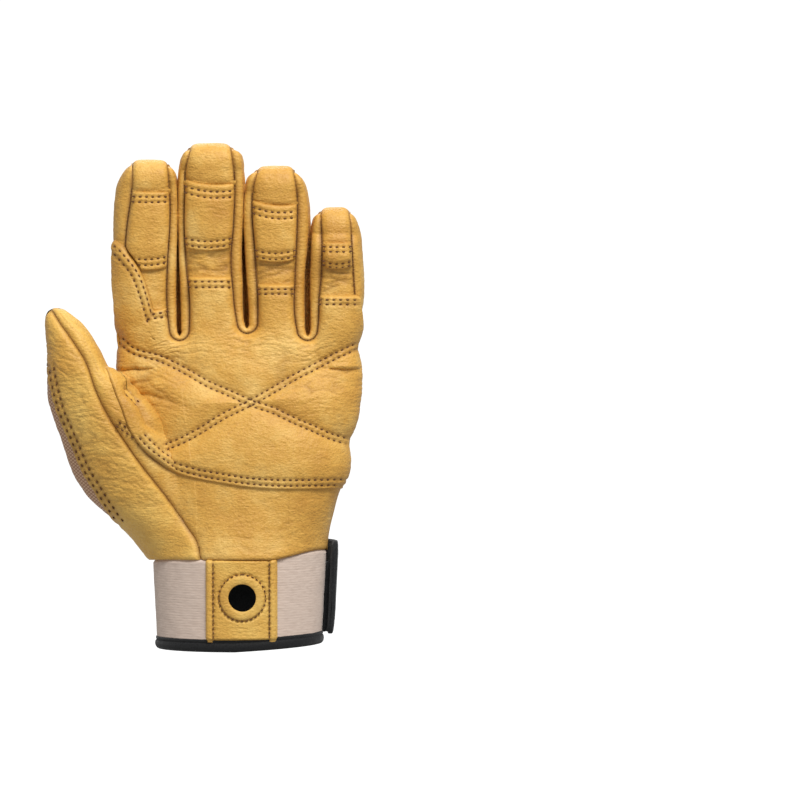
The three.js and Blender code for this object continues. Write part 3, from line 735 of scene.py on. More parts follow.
def knit_material(name, base, groove, scale, rough):
    """A knit of small diamonds: two crossing waves on object coordinates, darker in their valleys."""
    material, tree, shader, add = shade_tree(name)
    place = add("ShaderNodeTexCoord").outputs["Object"]
    bands = []
    for turn in (-0.95, 0.95):
        turned = add("ShaderNodeMapping", {"Vector": place}, Rotation=(0, turn, 0)).outputs["Vector"]
        wave = add("ShaderNodeTexWave", {"Vector": turned}, Scale=scale, Distortion=0.8, Detail=1.0)
        bands.append(wave.outputs["Fac"])
    weave = add("ShaderNodeMath", {0: bands[0], 1: bands[1]}, operation="MULTIPLY").outputs["Value"]
    tone = ramp(add, weave, [(0.02, groove), (0.3, base)])
    bump = add("ShaderNodeBump", {"Height": weave}, Strength=0.5, Distance=0.0003)
    surface(tree, shader, tone.outputs["Color"], bump, 0.12, 0.25)
    shader.inputs["Roughness"].default_value = rough
    return material


EVEN = (1, 1, 1)
# Leathers: light, main and dark tones, and the colour of the painted shade in creases, beside seams and
# along edges
TAN = leather_material("tan_goatskin", linear(230, 189, 106), linear(213, 162, 72),
                       linear(197, 142, 56), linear(120, 72, 22))
YELLOW = leather_material("yellow_goatskin", linear(232, 190, 100), linear(221, 172, 80),
                          linear(205, 152, 64), linear(124, 78, 26))
THREAD = cloth_material("brown_thread", linear(112, 70, 30), linear(76, 44, 16), 2600.0, EVEN, 0.3, 0.7)
KNIT = knit_material("knit_back", linear(214, 176, 142), linear(160, 116, 86), 242.0, 0.85)
ELASTIC = cloth_material("ribbed_elastic", linear(213, 193, 178), linear(197, 176, 161), 2800.0,
                         (0.12, 0.12, 1), 0.15, 0.8)
DARK = cloth_material("dark_cloth", linear(25, 26, 27), linear(10, 10, 11), 1400.0, EVEN, 0.4, 0.75)
HOOK = cloth_material("touch_fastener", linear(38, 40, 42), linear(16, 17, 19), 1700.0, EVEN, 0.7, 0.85)


# Meshes
def placed(name, data):
    """A new object of the scene with that data."""
    thing = bpy.data.objects.new(name, data)
    bpy.context.scene.collection.objects.link(thing)
    return thing


def new_object(name, vertices, faces, material):
    """An object from points in metres and faces, shaded smooth."""
    mesh = bpy.data.meshes.new(name)
    mesh.from_pydata(vertices.tolist(), [], faces.tolist())
    mesh.materials.append(material)
    mesh.polygons.foreach_set("use_smooth", np.ones(len(mesh.polygons), bool))
    return placed(name, mesh)


def grid_quads(index):
    """The faces of a grid of point numbers, rows up and columns to the right seen from outside."""
    corners = (index[:-1, :-1], index[:-1, 1:], index[1:, 1:], index[1:, :-1])
    return np.stack(corners, axis=-1).reshape(-1, 4)


def new_piece(name, vertices, faces, material, nodes=()):
    """An object tied to the glove's body and in place of the nodes it dresses."""
    piece = new_object(name, vertices, faces, material)
    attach(piece, "root")
    if nodes:
        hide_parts(*nodes)
    return piece


def tidy_mesh(mesh, merge, closed=False):
    """Merges points closer than merge metres, turns closed forms' faces outward and smooths the shading."""
    work = bmesh.new()
    work.from_mesh(mesh)
    bmesh.ops.remove_doubles(work, verts=work.verts, dist=merge)
    if closed:
        bmesh.ops.recalc_face_normals(work, faces=work.faces)
    else:
        bmesh.ops.dissolve_degenerate(work, edges=work.edges, dist=merge / 2)
    work.to_mesh(mesh)
    work.free()
    mesh.polygons.foreach_set("use_smooth", np.ones(len(mesh.polygons), bool))


def put(name, sheets, material, nodes=(), thickness=0.0, in_place=False, keep=None):
    """One object from sheets of (points, painted shade) on grids, rows up and columns to the right from
    outside.

    keep, where given, says from the corners of a face whether it stays.
    """
    vertices = []
    faces = []
    painted_shades = []
    base = 0
    for points, tone in sheets:
        rows, columns = points.shape[:2]
        place = points if in_place else through_lens(points)
        vertices.append(place.reshape(-1, 3) * MM)
        painted_shades.append(np.broadcast_to(tone, (rows, columns)).reshape(-1))
        faces.append(grid_quads(base + np.arange(rows * columns).reshape(rows, columns)))
        base += rows * columns
    vertices = np.concatenate(vertices)
    faces = np.concatenate(faces)
    if keep is not None:
        faces = faces[keep(vertices[faces] / MM)]
    piece = new_piece(name, vertices, faces, material, nodes)
    # Each point's painted shade, stored for the leather material to darken creases, seam sides and edges
    attribute = piece.data.attributes.new("painted_shade", "FLOAT", "POINT")
    attribute.data.foreach_set("value", np.clip(np.concatenate(painted_shades), 0, 1).astype(np.float32))
    tidy_mesh(piece.data, SHEET_MERGE)
    if thickness:
        wall = piece.modifiers.new("wall", "SOLIDIFY")
        wall.thickness = thickness * MM
        wall.offset = -1


def walled(points, out, lift, tone, walls=""):
    """A sheet moved out by lift, with a wall turned inward along the edges named by l, r, b or t."""
    moved = points + out * lift[..., None]
    tone = np.broadcast_to(tone, lift.shape)
    for letter, axis, place in (("l", 1, 0), ("r", 1, -1), ("b", 0, 0), ("t", 0, -1)):
        if letter in walls:
            rim_out = np.take(out, [place], axis=axis)
            rim = np.take(moved, [place], axis=axis) - WALL_DEPTH * rim_out
            rim_tone = np.take(tone, [place], axis=axis)
            pairs = ((rim, moved), (rim_out, out), (rim_tone, tone))
            if place:
                pairs = tuple(pair[::-1] for pair in pairs)
            moved, out, tone = (np.concatenate(pair, axis=axis) for pair in pairs)
    return moved, tone


def hand_sheet(x, z, back, lift, tone, walls=""):
    """A sheet on the hand's front, or back, moved out by lift."""
    points, out = on_hand(x, z, np.broadcast_to(back, np.shape(x)))
    return walled(points, out, lift, tone, walls)


def turned_round(x, z, lift, tone, reach, right):
    """A sheet of the hand's front carried past its side, where reach is 1, and in under the knit."""
    end = slice(-1, None) if right else slice(0, 1)
    far = np.array([0.02, 0.1, 0.25, 0.45, 0.6]) * reach
    level = lift[:, end] + (np.array([0.4, 0.4, 0.4, 0.2, -0.9]) - lift[:, end]) * reach
    parts = [(x, x[:, end] - far * (1 if right else -1)), (z, z[:, end] + 0 * far), (lift, level),
             (tone, tone[:, end] + 0 * far), (np.zeros(x.shape, bool), np.ones(far.shape, bool))]
    if not right:
        parts = [(old, new[:, ::-1])[::-1] for old, new in parts]
    x, z, lift, tone, back = (np.concatenate(pair, axis=1) for pair in parts)
    return x, z, back, lift, tone


def shares(count, left_turn=False, right_turn=False):
    """Column positions from 0 to 1, closer together at an end where the surface turns away."""
    even = np.linspace(0, 1, count)
    turn = 0.2 * (1 - np.cos(np.linspace(0, np.pi / 2, 14, endpoint=False)))
    if left_turn:
        return np.concatenate([turn, 0.2 + 0.8 * even])
    if right_turn:
        return np.concatenate([0.8 * even, 1 - turn[::-1]])
    return even


def near_slots(x, z):
    """Distance to the nearest U seam."""
    return np.min([gap_to(x, z, line) for line in SLOT_LINES], axis=0)


def hem_rise(x):
    """How much higher the leather's lower edge lies towards the little finger's side."""
    return 4.8 * smooth_step(12, 40, x)


# Heights of the base leather's rows, closest together round the knuckles
BASE_ROWS = np.concatenate([
    np.arange(WRIST_Z, 138, 0.8), np.arange(138, 156, 0.4), np.arange(156, 218, 0.75)])


def finger_share(name, z, left, right):
    """A finger's share between the U seams, from left and to right where it has no neighbour."""
    place = ORDER.index(name)
    if place:
        left = slot_sides(place - 1, z)[1]
    if place < 3:
        right = slot_sides(place, z)[0]
    return left, right


BAR_Z = 101.7
BAR_X = -56.8


def base_limits(name, z):
    """Left and right x of a finger's share of the base leather at each height."""
    bar = np.interp(z, [BAR_Z, CROTCH_Z], [BAR_X, CROTCH_X])
    above = np.where(z < CROTCH_Z, bar, np.maximum(fork_x(z), palm_left(z) + 0.4))
    left = np.where(z < BAR_Z, thumb_seam_x(z), above)
    blend = smooth_step(144, 152, z)
    left = mix(left, FINGERS["index"]["seam_left"](z), blend)
    right = mix(palm_right(z), FINGERS["little"]["seam_right"](z), blend)
    return finger_share(name, z, left, right)


def little_side_round(x, z, lift, tone):
    """The leather at the hand's outer side carried round under the knit, up to the little finger's seam."""
    return turned_round(x, z, lift, tone, 1 - smooth_step(134, 141, z[:, -1:]), True)


def palm_base():
    """The base leather: heel of the hand, palm under the overlay, and the four finger fronts."""
    sheets = []
    for name in ORDER:
        z = BASE_ROWS[BASE_ROWS < FINGERS[name]["cap"] + 1][:, None]
        left, right = base_limits(name, z)
        share = shares(34, right_turn=name == "little")
        z = z + hem_rise(left + (right - left) * share) * np.clip(1 - (z - WRIST_Z) / 25, 0, 1)
        left, right = base_limits(name, z)
        x = left + (right - left) * share
        relief = hide_relief(x, z, 1.0, 61)
        heel = np.clip((80 - z) / 30, 0, 1)
        relief = relief + 0.2 * heel * creases(x, z, 3, 16, 3.2, 63)
        for other, (top, _, _) in TONGUES.items():
            finger = FINGERS[other]
            bare = bell(z - (top + finger["pad"]) / 2, 0.55 * (finger["pad"] - top), 4)
            bare = bare * between_seams(finger, x, z)
            folds = 0.6 * creases(x, z, 2, 16, 3.4, 65) + 0.3 * creases(x, z, -6, 9, 2, 66)
            relief = relief + bare * folds
        bare = bell(np.hypot((x + 36) * 0.8, z - 166), 8)
        relief = relief + 0.35 * bare * creases(x, z, 4, 10, 2.6, 67)
        lift = relief - 1.1 * smooth_step(0.5, 2.5, cover_depth(x, z))
        seam = np.minimum(near_slots(x, z), np.where(z < 104, gap_to(x, z, THUMB_SEAM), FAR))
        if name == "index":
            seam = np.minimum(seam, np.where(z > 150, x - FINGERS[name]["seam_left"](z), FAR))
        if name == "little":
            seam = np.minimum(seam, np.where(z > 152, FINGERS[name]["seam_right"](z) - x, FAR))
        lift = sewn_down(lift, seam)
        hem = z - WRIST_Z - hem_rise(x)
        lift = lift - 0.6 * bell(hem, 0.9)
        # Painted shade in creases, beside seams and along the lower edge, then a painted shadow under the
        # overlay's edge where it stands off the heel of the thumb
        tone = painted_leather_shade(relief, seam, hem, 0.35, 0.7)
        tone = tone + 0.9 * heel_gape(x, z) * bell(gap_to(x, z, OVERLAY_LOW), 1.1)
        back = False
        if name == "little":
            x, z, back, lift, tone = little_side_round(x, z, lift, tone)
        sheets.append(hand_sheet(x, z, back, lift, tone, "lrb" if name in ("index", "little") else "b"))
    put("palm_leather", sheets, TAN, ["palm_panel"])


# Height at which the overlay's rows lie level, between its curved lower edge and its upper edges
LEVEL_Z = 134.0


def overlay_limits(name, z):
    """Left and right x of a finger's share of the overlay at each height."""
    left = np.where(z > FORK_Z, palm_left(z), fork_x(z)) + 0.9 * smooth_step(146, 156, z)
    right = mix(palm_right(z), FINGERS["little"]["seam_right"](z), smooth_step(140, 150, z))
    return finger_share(name, z, left, right)


def overlay_top(name, x):
    """Height of the overlay's upper edge over x: the wrap on the index finger, a tongue on the others."""
    if name == "index":
        return np.where(x < WRAP_EDGE[-1, 0], wrap_z(x), np.interp(x, WRAP_FOOT[:, 0], WRAP_FOOT[:, 1]))
    return TONGUES[name][0] + 0 * x


def tongue_rows(name):
    """The two rows across the top of a tongue."""
    return [finger_row(name, row, 0, 1) for row in TONGUES[name][1:]]


def palm_overlay():
    """The raised palm reinforcement, with tongues up the fingers and a wrap round the index finger."""
    sheets = []
    for name in ORDER:
        share = shares(46, left_turn=name == "index", right_turn=name == "little")
        up = np.linspace(0, 1, 112)[:, None]
        peak = 192.0 if name == "index" else TONGUES[name][0]
        upper = np.linspace(0, 1, int((peak - LEVEL_Z) / 0.5))[1:, None]
        low_z = 80 + (LEVEL_Z - 80) * up + 0 * share
        high_z = LEVEL_Z + (peak - LEVEL_Z) * upper + 0 * share
        for _ in range(6):
            left, right = overlay_limits(name, low_z)
            low_x = left + (right - left) * share
            floor_z = overlay_low_z(low_x)
            low_z = floor_z + (LEVEL_Z - floor_z) * up
            left, right = overlay_limits(name, high_z)
            high_x = left + (right - left) * share
            high_z = LEVEL_Z + (overlay_top(name, high_x) - LEVEL_Z) * upper
        x = np.concatenate([low_x, high_x])
        z = np.concatenate([low_z, high_z])
        slot = near_slots(x, z)
        edge = gap_to(x, z, OVERLAY_LOW)
        relief = palm_creases(x, z)
        if name == "index":
            edge = np.minimum(edge, gap_to(x, z, WRAP_EDGE))
            edge = np.minimum(edge, np.where(z > 150, gap_to(x, z, WRAP_FOOT), FAR))
        else:
            edge = np.minimum(edge, TONGUES[name][0] - z)
            relief = sew(relief, x, z, tongue_rows(name))
        lift = sewn_down(overlay_lift(x, z, edge, relief), slot, 1.8)
        tone = painted_leather_shade(relief, slot, edge)
        back = False
        if name == "little":
            x, z, back, lift, tone = little_side_round(x, z, lift, tone)
        if name == "index":
            reach = smooth_step(126.5, 129, z[:, :1]) * (1 - smooth_step(136, 141, z[:, :1]))
            x, z, back, lift, tone = turned_round(x, z, lift, tone, reach, False)
        walls = {"index": "lrbt", "little": "rbt"}.get(name, "bt")
        sheets.append(hand_sheet(x, z, back, lift, tone, walls))
    sheets.append(web_sheet())
    put("palm_overlay_leather", sheets, TAN, ["palm_overlay"])


def web_sheet():
    """The overlay's part in the fork, from the crotch line out over the thumb to its rolled edge."""
    z = np.linspace(94.2, 141.2, 100)[:, None]
    left = np.minimum(web_edge_x(z), thumb_right(z) - 0.1)
    share = np.linspace(0, 1, 36)
    blend = smooth_step(119, 129, z)
    right = np.where(z < FORK_Z, fork_x(z), thumb_right(z))
    x = left + (right - left) * mix(share, np.sin(share * np.pi / 2), blend)
    z = z + 0 * x
    edge = gap_to(x, z, OVERLAY_LOW)
    relief = palm_creases(x, z)
    whole = np.where(z > FORK_Z, smooth_step(0.2, 2.5, right - left), 1)
    lift = mix(-1.0, overlay_lift(x, z, edge, relief), whole)
    return hand_sheet(x, z, False, lift, painted_leather_shade(relief, FAR, edge, 0.6), "lb")


def thumb_rim(x, z):
    """0 at the thumb's back seam and at its tip, 1 away from them: where two panels have to meet."""
    back_seam = np.where(z < FORK_Z, 1, smooth_step(0, 3, thumb_right(z) - x))
    return back_seam * smooth_step(0, 3, THUMB_TOP_Z - z)


def thumb_inner():
    """The thumb panel between its front seam and the fork, lapped over the palm at a stitched bar."""
    up = np.linspace(0, 1, 120)[:, None]
    share = np.linspace(0, 1, 44)
    top = 157.1
    z = 98 + (top - 98) * up + 0 * share
    for _ in range(5):
        left = np.maximum(thumb_seam_x(z), thumb_left(z) + 0.3)
        right = np.where(z < FORK_Z, fork_x(z), thumb_right(z))
        x = left + (right - left) * mix(share, np.sin(share * np.pi / 2), smooth_step(119, 129, z))
        low = np.interp(x, WEB_BAR[:, 0], WEB_BAR[:, 1])
        z = low + (top - low) * up
    relief = hide_relief(x, z, 0.7, 71)
    relief = relief + 0.25 * creases(x, z, -50, 14, 4, 73)
    relief = sew(relief, x, z, BAR_ROWS)
    seam = gap_to(x, z, THUMB_SEAM)
    bar = gap_to(x, z, WEB_BAR)
    under = smooth_step(0.3, 2.5, x - web_edge_x(z)) * (z > 92)
    lift = (sewn_down(rolled_edge(bar, 0.55, -0.6) + relief, seam) - 1.5 * under) * thumb_rim(x, z)
    reach = smooth_step(127, 129, z[:, -1:]) * (1 - smooth_step(150, 154, z[:, -1:]))
    x, z, back, lift, tone = turned_round(x, z, lift, painted_leather_shade(relief, seam), reach, True)
    return hand_sheet(x, z, back, lift, tone, "lrbt")


def thumb_outer_part(x, z, back, walls):
    """A part of the outer thumb panel: level wrinkles, and the double row beside the knit in front."""
    relief = hide_relief(x, z, 0.9, 81)
    zone = smooth_step(54, 72, z) * (1 - smooth_step(136, 152, z))
    relief = relief + 0.3 * zone * creases(x, z, -8, 8, 3.2, 83)
    relief = relief + 0.16 * zone * lattice_noise(x / 5, z / 1.5, 85)
    seam = FAR
    edge = FAR
    if not back:
        relief = sew(relief, x, z, THUMB_ROWS, THUMB_PITCH)
        seam = gap_to(x, z, THUMB_SEAM)
        edge = np.where(z < MESH_TOP_Z, gap_to(x, z, MESH_SEAM), FAR)
    lift = sewn_down(rolled_edge(edge, 0.8, -0.5) + relief, seam)
    lift = lift - 0.6 * bell(z - WRIST_Z, 0.9)
    tone = painted_leather_shade(relief, seam, edge) + 0 * x
    lift = (lift + 0 * x) * thumb_rim(x, z)
    if walls == "lrb":
        x, z, back, lift, tone = turned_round(x, z, lift, tone, 1 - smooth_step(53, 56, z[:, :1]), False)
    return hand_sheet(x, z, back, lift, tone, walls)


def thumb_outer():
    """The outer thumb panel: front strip from seam to knit, and above the knit on round the back."""
    z = np.linspace(41.6, MESH_TOP_Z, 150)[:, None]
    right = thumb_seam_x(z)
    left = np.where(z < 57, thumb_left(z), np.maximum(mesh_seam_x(z), thumb_left(z)))
    near_edge = smooth_step(124, 130, z) + (1 - smooth_step(50, 58, z))
    share = np.linspace(0, 1, 60)
    x = left + (right - left) * mix(share, 1 - np.cos(share * np.pi / 2), near_edge)
    sheets = [thumb_outer_part(x, z + 0 * x, False, "lrb")]
    z = np.linspace(MESH_TOP_Z, 157.3, 64)[:, None]
    width = np.maximum(thumb_seam_x(z) - thumb_left(z), 0.3)
    x = thumb_left(z) + width * (1 - np.cos(share * np.pi / 2))
    sheets.append(thumb_outer_part(x, z + 0 * x, False, "rt"))
    swing = np.cos(np.linspace(0, np.pi, 60))
    x = (thumb_left(z) + thumb_right(z)) / 2 + (thumb_right(z) - thumb_left(z)) / 2 * swing
    sheets.append(thumb_outer_part(x, z + 0 * x, True, "bt"))
    return sheets


def pad_skin(name, x, z, up):
    """A pad's fine relief with the swell between its rows, up from 0 at its lower edge to 1 at the cap."""
    return hide_relief(x, z, 0.8, 91 + len(name)) + 0.9 * np.sin(np.pi * up)**0.8


def finger_pad(name):
    """A raised pad on a finger front, held by two double rows, its lower edge sagging."""
    finger = FINGERS[name]
    share = np.linspace(0, 1, 50)
    across = 2 * share - 1
    low = finger["pad"] + PAD_SAG * (across**2 - 0.35)
    high = finger["cap"] - 0.4 + CAP_SAG[name] * (across**2 - 0.35) + CAP_LEAN[name] * across
    up = np.linspace(0, 1, int((finger["cap"] - finger["pad"]) / 0.5))[:, None]
    z = low + (high - low) * up
    left = finger["seam_left"](z)
    right = finger["seam_right"](z)
    x = left + (right - left) * share
    relief = sew(pad_skin(name, x, z, up), x, z, pad_rows(name))
    edge = np.minimum(z - low, high - z)
    if name == "index":
        edge = np.minimum(edge, z - wrap_z(x) - 0.3)
    edge = np.clip(edge, 0, None)
    seam = np.minimum(x - left, right - x)
    lift = sewn_down(rolled_edge(edge, COVER, -0.9) + relief * smooth_step(0, 2, edge), seam)
    sheet = hand_sheet(x, z, False, lift, painted_leather_shade(relief, seam, edge), "lrbt")
    put(f"{name}_pad_leather", [sheet], TAN, [f"{name}_pad"])


def strip_surface(finger, z_front, z_back, x_of):
    """Points and outward directions of a strip up a finger's front, over the tip and down its back.

    Over the tip the centre follows a super-ellipse of the finger's half thickness by the dome's height;
    off the centre the surface drops by the finger's crown, along the same direction.
    """
    dome = finger["dome"]
    turn = np.linspace(0, np.pi, 61)
    rise = np.sin(turn)**(2 / 2.5)
    swing = np.sign(np.cos(turn)) * np.abs(np.cos(turn))**(2 / 2.5)
    z_turn = dome + DOME * rise
    heights = (z_front, z_turn, z_back)
    x_front, x_turn, x_back = (x_of(np.minimum(z, finger["tip"] - 1.2)) for z in heights)
    left = float(finger["left"](dome - 2))
    right = float(finger["right"](dome - 2))
    side = side_of(x_turn, left, right)
    half = float(finger_half(finger, dome))
    round_off = 2.5 + 1.6 * np.sin(turn)[:, None]
    drop = half * (1 - crown(side, round_off))
    out_y = -np.cos(turn)[:, None] + 0 * x_turn
    out_z = np.sin(turn)[:, None] + 0 * x_turn
    y = -curl(z_turn)[:, None] - half * swing[:, None] - drop * out_y
    z = z_turn[:, None] - drop * out_z
    front, front_out = on_hand(x_front, z_front[:, None] + 0 * x_front, np.zeros(x_front.shape, bool))
    back, back_out = on_hand(x_back, z_back[:, None] + 0 * x_back, np.ones(x_back.shape, bool))
    near = 0.01
    tilt = half * (crown(side - near, round_off) - crown(side + near, round_off)) / (near * (right - left))
    turn_out = unit(np.stack([tilt, out_y, out_z], -1))
    points = np.concatenate([front, np.stack([x_turn, y, z], -1), back])
    out = np.concatenate([front_out, turn_out, back_out])
    return points, out, len(front) + len(turn) // 2


def finger_cap(name):
    """The leather over a fingertip: from the pad's top over the dome and down the back."""
    finger = FINGERS[name]
    place = ORDER.index(name)
    share = np.linspace(0, 1, 48)
    across = 2 * share - 1
    low = finger["cap"] - 0.9
    z_front = np.arange(low, finger["dome"], 0.7)
    z_back = np.arange(finger["dome"], KNUCKLE_Z - 8, -0.75)[1:]

    def x_of(z):
        left = finger["seam_left"](z)
        right = finger["seam_right"](z)
        if place > 0:
            left = np.where(z < 152, slot_sides(place - 1, z)[1], left)
        if place < 3:
            right = np.where(z < 152, slot_sides(place, z)[0], right)
        return left[:, None] + (right - left)[:, None] * share

    points, out, _ = strip_surface(finger, z_front, z_back, x_of)
    sag = CAP_SAG[name] * (across**2 - 0.35) + CAP_LEAN[name] * across
    fade = np.clip(1 - (points[..., 2] - low) / 8, 0, 1) * (np.arange(len(points)) < len(z_front))[:, None]
    points[..., 2] += sag * fade
    run = run_along(points[:, 24])
    long = run[:, None] + 0 * share
    x = points[..., 0]
    relief = hide_relief(x, long, 0.8, 101 + len(name))
    for knuckle in (0.45, 0.78):
        bend = bell(long - run[-1] * knuckle, 7)
        relief = relief + 0.45 * bend * creases(x, long, 0, 14, 3.0, 107)
    seam = np.minimum(x - x[:, :1], x[:, -1:] - x)
    foot = bell(long, 1.3, 1.5)
    lift = sewn_down((0.45 + relief) * (1 - foot) - 0.5 * foot, seam)
    sheet = walled(points, out, lift, painted_leather_shade(relief, seam, long, 0.6, 0.7), "lrbt")
    put(f"{name}_cap_leather", [sheet], TAN, [f"{name}_cap"])


def side_wall(finger, side, z_low):
    """Front seam, outer edge and back seam down one side of a finger, tip first, with their directions."""
    seam = finger["seam_right"] if side > 0 else finger["seam_left"]
    edge = finger["right"] if side > 0 else finger["left"]
    z_front = np.arange(z_low, finger["dome"], 0.7)
    z_back = z_front[::-1]
    points, out, top = strip_surface(finger, z_front, z_back, lambda z: seam(z)[:, None])
    points = points[:, 0]
    out = out[:, 0]
    front = points[:top + 1][::-1]
    back = points[top:]
    height = front[0, 2]
    outer = edge(np.minimum(front[:, 2], finger["tip"] - 1.7))
    shut = np.clip((height - front[:, 2]) / 7, 0, 1)
    middle = (front + back) / 2
    middle[:, 0] = front[:, 0] + (outer - front[:, 0]) * np.sqrt(1 - (1 - shut)**2)
    return {"front": front, "front_out": out[:top + 1][::-1], "middle": middle, "back": back,
            "back_out": out[top:], "outward": np.full(front.shape, (float(side), 0.0, 0.0)),
            "floor": np.full(len(front), SEAM_FLOOR)}


def slot_opening(z):
    """Half width of the dark slit between two fingers, seen from the front."""
    return 0.4 + 0.65 * (1 - smooth_step(148, 196, z))


def gusset_sheet(wall, flip, seed, opening=0.0):
    """A side strip: each row swings from the front seam out through the middle line to the back seam.

    The row is a super-ellipse arc, its half axes the seams' half distance and the way to the middle line.
    """
    angle = np.linspace(0, np.pi, 34)
    behind = smooth_step(0.5 * np.pi, 0.6 * np.pi, angle)
    power = 3.1 + 2.0 * behind if np.any(opening) else 2.25 + 0 * behind
    swing = (np.sign(np.cos(angle)) * np.abs(np.cos(angle))**(2 / power))[:, None]
    bulge = (np.sin(angle)**(2 / power))[:, None]
    front = (wall["front"] - wall["floor"][:, None] * wall["front_out"])[:, None]
    back = (wall["back"] - SEAM_FLOOR * wall["back_out"])[:, None]
    tip = np.clip(np.arange(len(wall["middle"])) / 12, 0, 1)
    tip = np.minimum(tip, tip[::-1]) if np.any(opening) else 0 * tip
    overlap = -0.6 * behind * tip[:, None]
    shift = (np.broadcast_to(opening, (len(wall["middle"]),))[:, None] * (1 - behind) + overlap)[..., None]
    middle = wall["middle"][:, None] - shift * wall["outward"][:, None]
    centre = (front + back) / 2
    points = centre + (front - back) / 2 * swing + (middle - centre) * bulge
    normal = unit(np.cross(np.gradient(points, axis=1), np.gradient(points, axis=0))) * (-1 if flip else 1)
    run = run_along(wall["middle"])
    long = run[:, None] + 0 * angle
    wide = 24 * angle / np.pi + 0 * long
    relief = 0.5 * hide_relief(wide, long, 0.8, seed) + 0.12 * creases(wide, long, 0, 6, 4, seed + 3)
    seam = np.minimum(wide, 24 - wide)
    puff = 0.9 * bell(angle - 0.2 * np.pi, 0.5) if np.any(opening) else 0.4 * np.sin(angle)
    ends = smooth_step(0, 4, long) * smooth_step(0, 4, run[-1] - long)
    swell = relief * smooth_step(0, 3, seam) + puff * smooth_step(0, 2, seam)
    points = points + normal * swell[..., None] * ends[..., None]
    lower = bell(long, 3) + (bell(run[-1] - long, 3) if np.any(opening) else 0)
    points[..., 2] -= 1.1 * lower
    tone = painted_leather_shade(relief, seam * 0.8)
    first = points[:, :1] - WALL_DEPTH * wall["front_out"][:, None]
    last = points[:, -1:] - WALL_DEPTH * wall["back_out"][:, None]
    points = np.concatenate([first, points, last], axis=1)
    tone = np.concatenate([tone[:, :1], tone, tone[:, -1:]], axis=1)
    if flip:
        return points[:, ::-1], tone[:, ::-1]
    return points, tone


def fourchette(slot):
    """The U strip between two fingers: down one finger's side, round the fork and up the next."""
    data = SLOTS[slot]
    low = data["bottom"] + SLOT_ROUND
    left = side_wall(FINGERS[ORDER[slot]], 1, low + 0.35)
    right = side_wall(FINGERS[ORDER[slot + 1]], -1, low + 0.35)
    turn = np.linspace(0, np.pi, 29)[1:-1]
    z = data["bottom"] + SLOT_ROUND * (1 - np.sin(turn))
    sides = slot_sides(slot, z)
    x = np.where(turn < np.pi / 2, sides[0], sides[1])
    front, front_out = on_hand(x, z, np.zeros(x.shape, bool))
    back, back_out = on_hand(x, z, np.ones(x.shape, bool))
    middle = (front + back) / 2
    middle[:, 0] = data["x"] - 0.1 * np.cos(turn)
    middle[:, 2] = data["slit"] + (low - data["slit"]) * (1 - np.sin(turn))
    outward = np.stack([np.cos(turn), 0 * turn, np.sin(turn)], axis=1)
    fork = {"front": front, "front_out": front_out, "middle": middle, "back": back, "back_out": back_out,
            "outward": outward, "floor": np.full(len(x), SEAM_FLOOR)}
    wall = {key: np.concatenate([left[key], fork[key], right[key][::-1]]) for key in left}
    sheet = gusset_sheet(wall, True, 121 + slot, slot_opening(wall["middle"][:, 2]))
    name = f"fourchette_{ORDER[slot]}_{ORDER[slot + 1]}"
    put(f"{name}_leather", [sheet], TAN, [name])


def outer_side(name, side):
    """The side strip outside the index or little finger, its front seam running out at the palm."""
    finger = FINGERS[name]
    wall = side_wall(finger, side, KNUCKLE_Z - 7)
    edge = finger["right"] if side > 0 else finger["left"]
    z = wall["front"][:, 2]
    blend = 1 - smooth_step(144, 152, z)
    x = mix(wall["front"][:, 0], edge(z) - side * 0.4, blend)
    low = z < 154
    moved, out = on_hand(x[low], z[low], np.zeros(low.sum(), bool))
    wall["front"][low] = moved
    wall["front_out"][low] = out
    wall["floor"] = SEAM_FLOOR * smooth_step(146, 153, z)
    sheet = gusset_sheet(wall, side > 0, 131)
    put(f"{name}_side_leather", [sheet], TAN, [f"{name}_side"])


def knit_sheet(x, z, back, walls=""):
    """A part of the knit, with broad soft unevenness."""
    z = z + 0 * x
    relief = 0.3 * lattice_noise(x / 14, z / 11, 151) + 0.2 * creases(x, z, 10, 20, 5, 153)
    notch = bell(np.hypot(x - FORK_X, z - FORK_Z), 7)
    return hand_sheet(x, z, back, relief - 0.2 - 1.1 * notch, 0.0, walls)


def knit_split(z):
    """Where the hand's share of the knit meets the thumb's, from the wrist up to the fork."""
    return np.interp(z, [WRIST_Z, 75, CROTCH_Z, FORK_Z], [-34, -44, CROTCH_X, FORK_X])


def back_knit():
    """The knit back of the hand and of the thumb, which runs round to the front beside the thumb panel."""
    z = np.linspace(WRIST_Z, KNUCKLE_Z - 5, 130)[:, None]
    right = palm_right(z)
    left = np.where(z < FORK_Z, knit_split(z), palm_left(z))
    x = right + (left - right) * shares(80, left_turn=True)
    sheets = [knit_sheet(x, z, True)]
    z = np.linspace(WRIST_Z, MESH_TOP_Z, 110)[:, None]
    right = np.where(z < FORK_Z, knit_split(z), thumb_right(z))
    left = thumb_left(z)
    share = np.linspace(0, 1, 50)
    swing = mix(np.sin(share * np.pi / 2), (1 - np.cos(share * np.pi)) / 2, smooth_step(119, 129, z))
    sheets.append(knit_sheet(right + (left - right) * swing, z, True))
    z = np.linspace(55, MESH_TOP_Z, 100)[:, None]
    left = thumb_left(z)
    right = np.maximum(mesh_seam_x(z) + 1.5, left + 0.6)
    x = left + (right - left) * (1 - np.cos(np.linspace(0, 1, 24) * np.pi / 2))
    sheets.append(knit_sheet(x, z, False))
    put("back_knit", sheets, KNIT, ["back_panel"])


# Stitches
def along_line(line, pitch, start):
    """Positions and directions every pitch along a line of (x, z)."""
    line = np.asarray(line)
    run = run_along(line)
    at = np.arange(start, run[-1], pitch)
    place = np.stack([np.interp(at, run, line[:, k]) for k in (0, 1)])
    ends = [np.stack([np.interp(at + step, run, line[:, k]) for k in (0, 1)]) for step in (0.2, -0.2)]
    ahead = ends[0] - ends[1]
    return (*place, *(ahead / (np.hypot(*ahead) + 1e-9)))


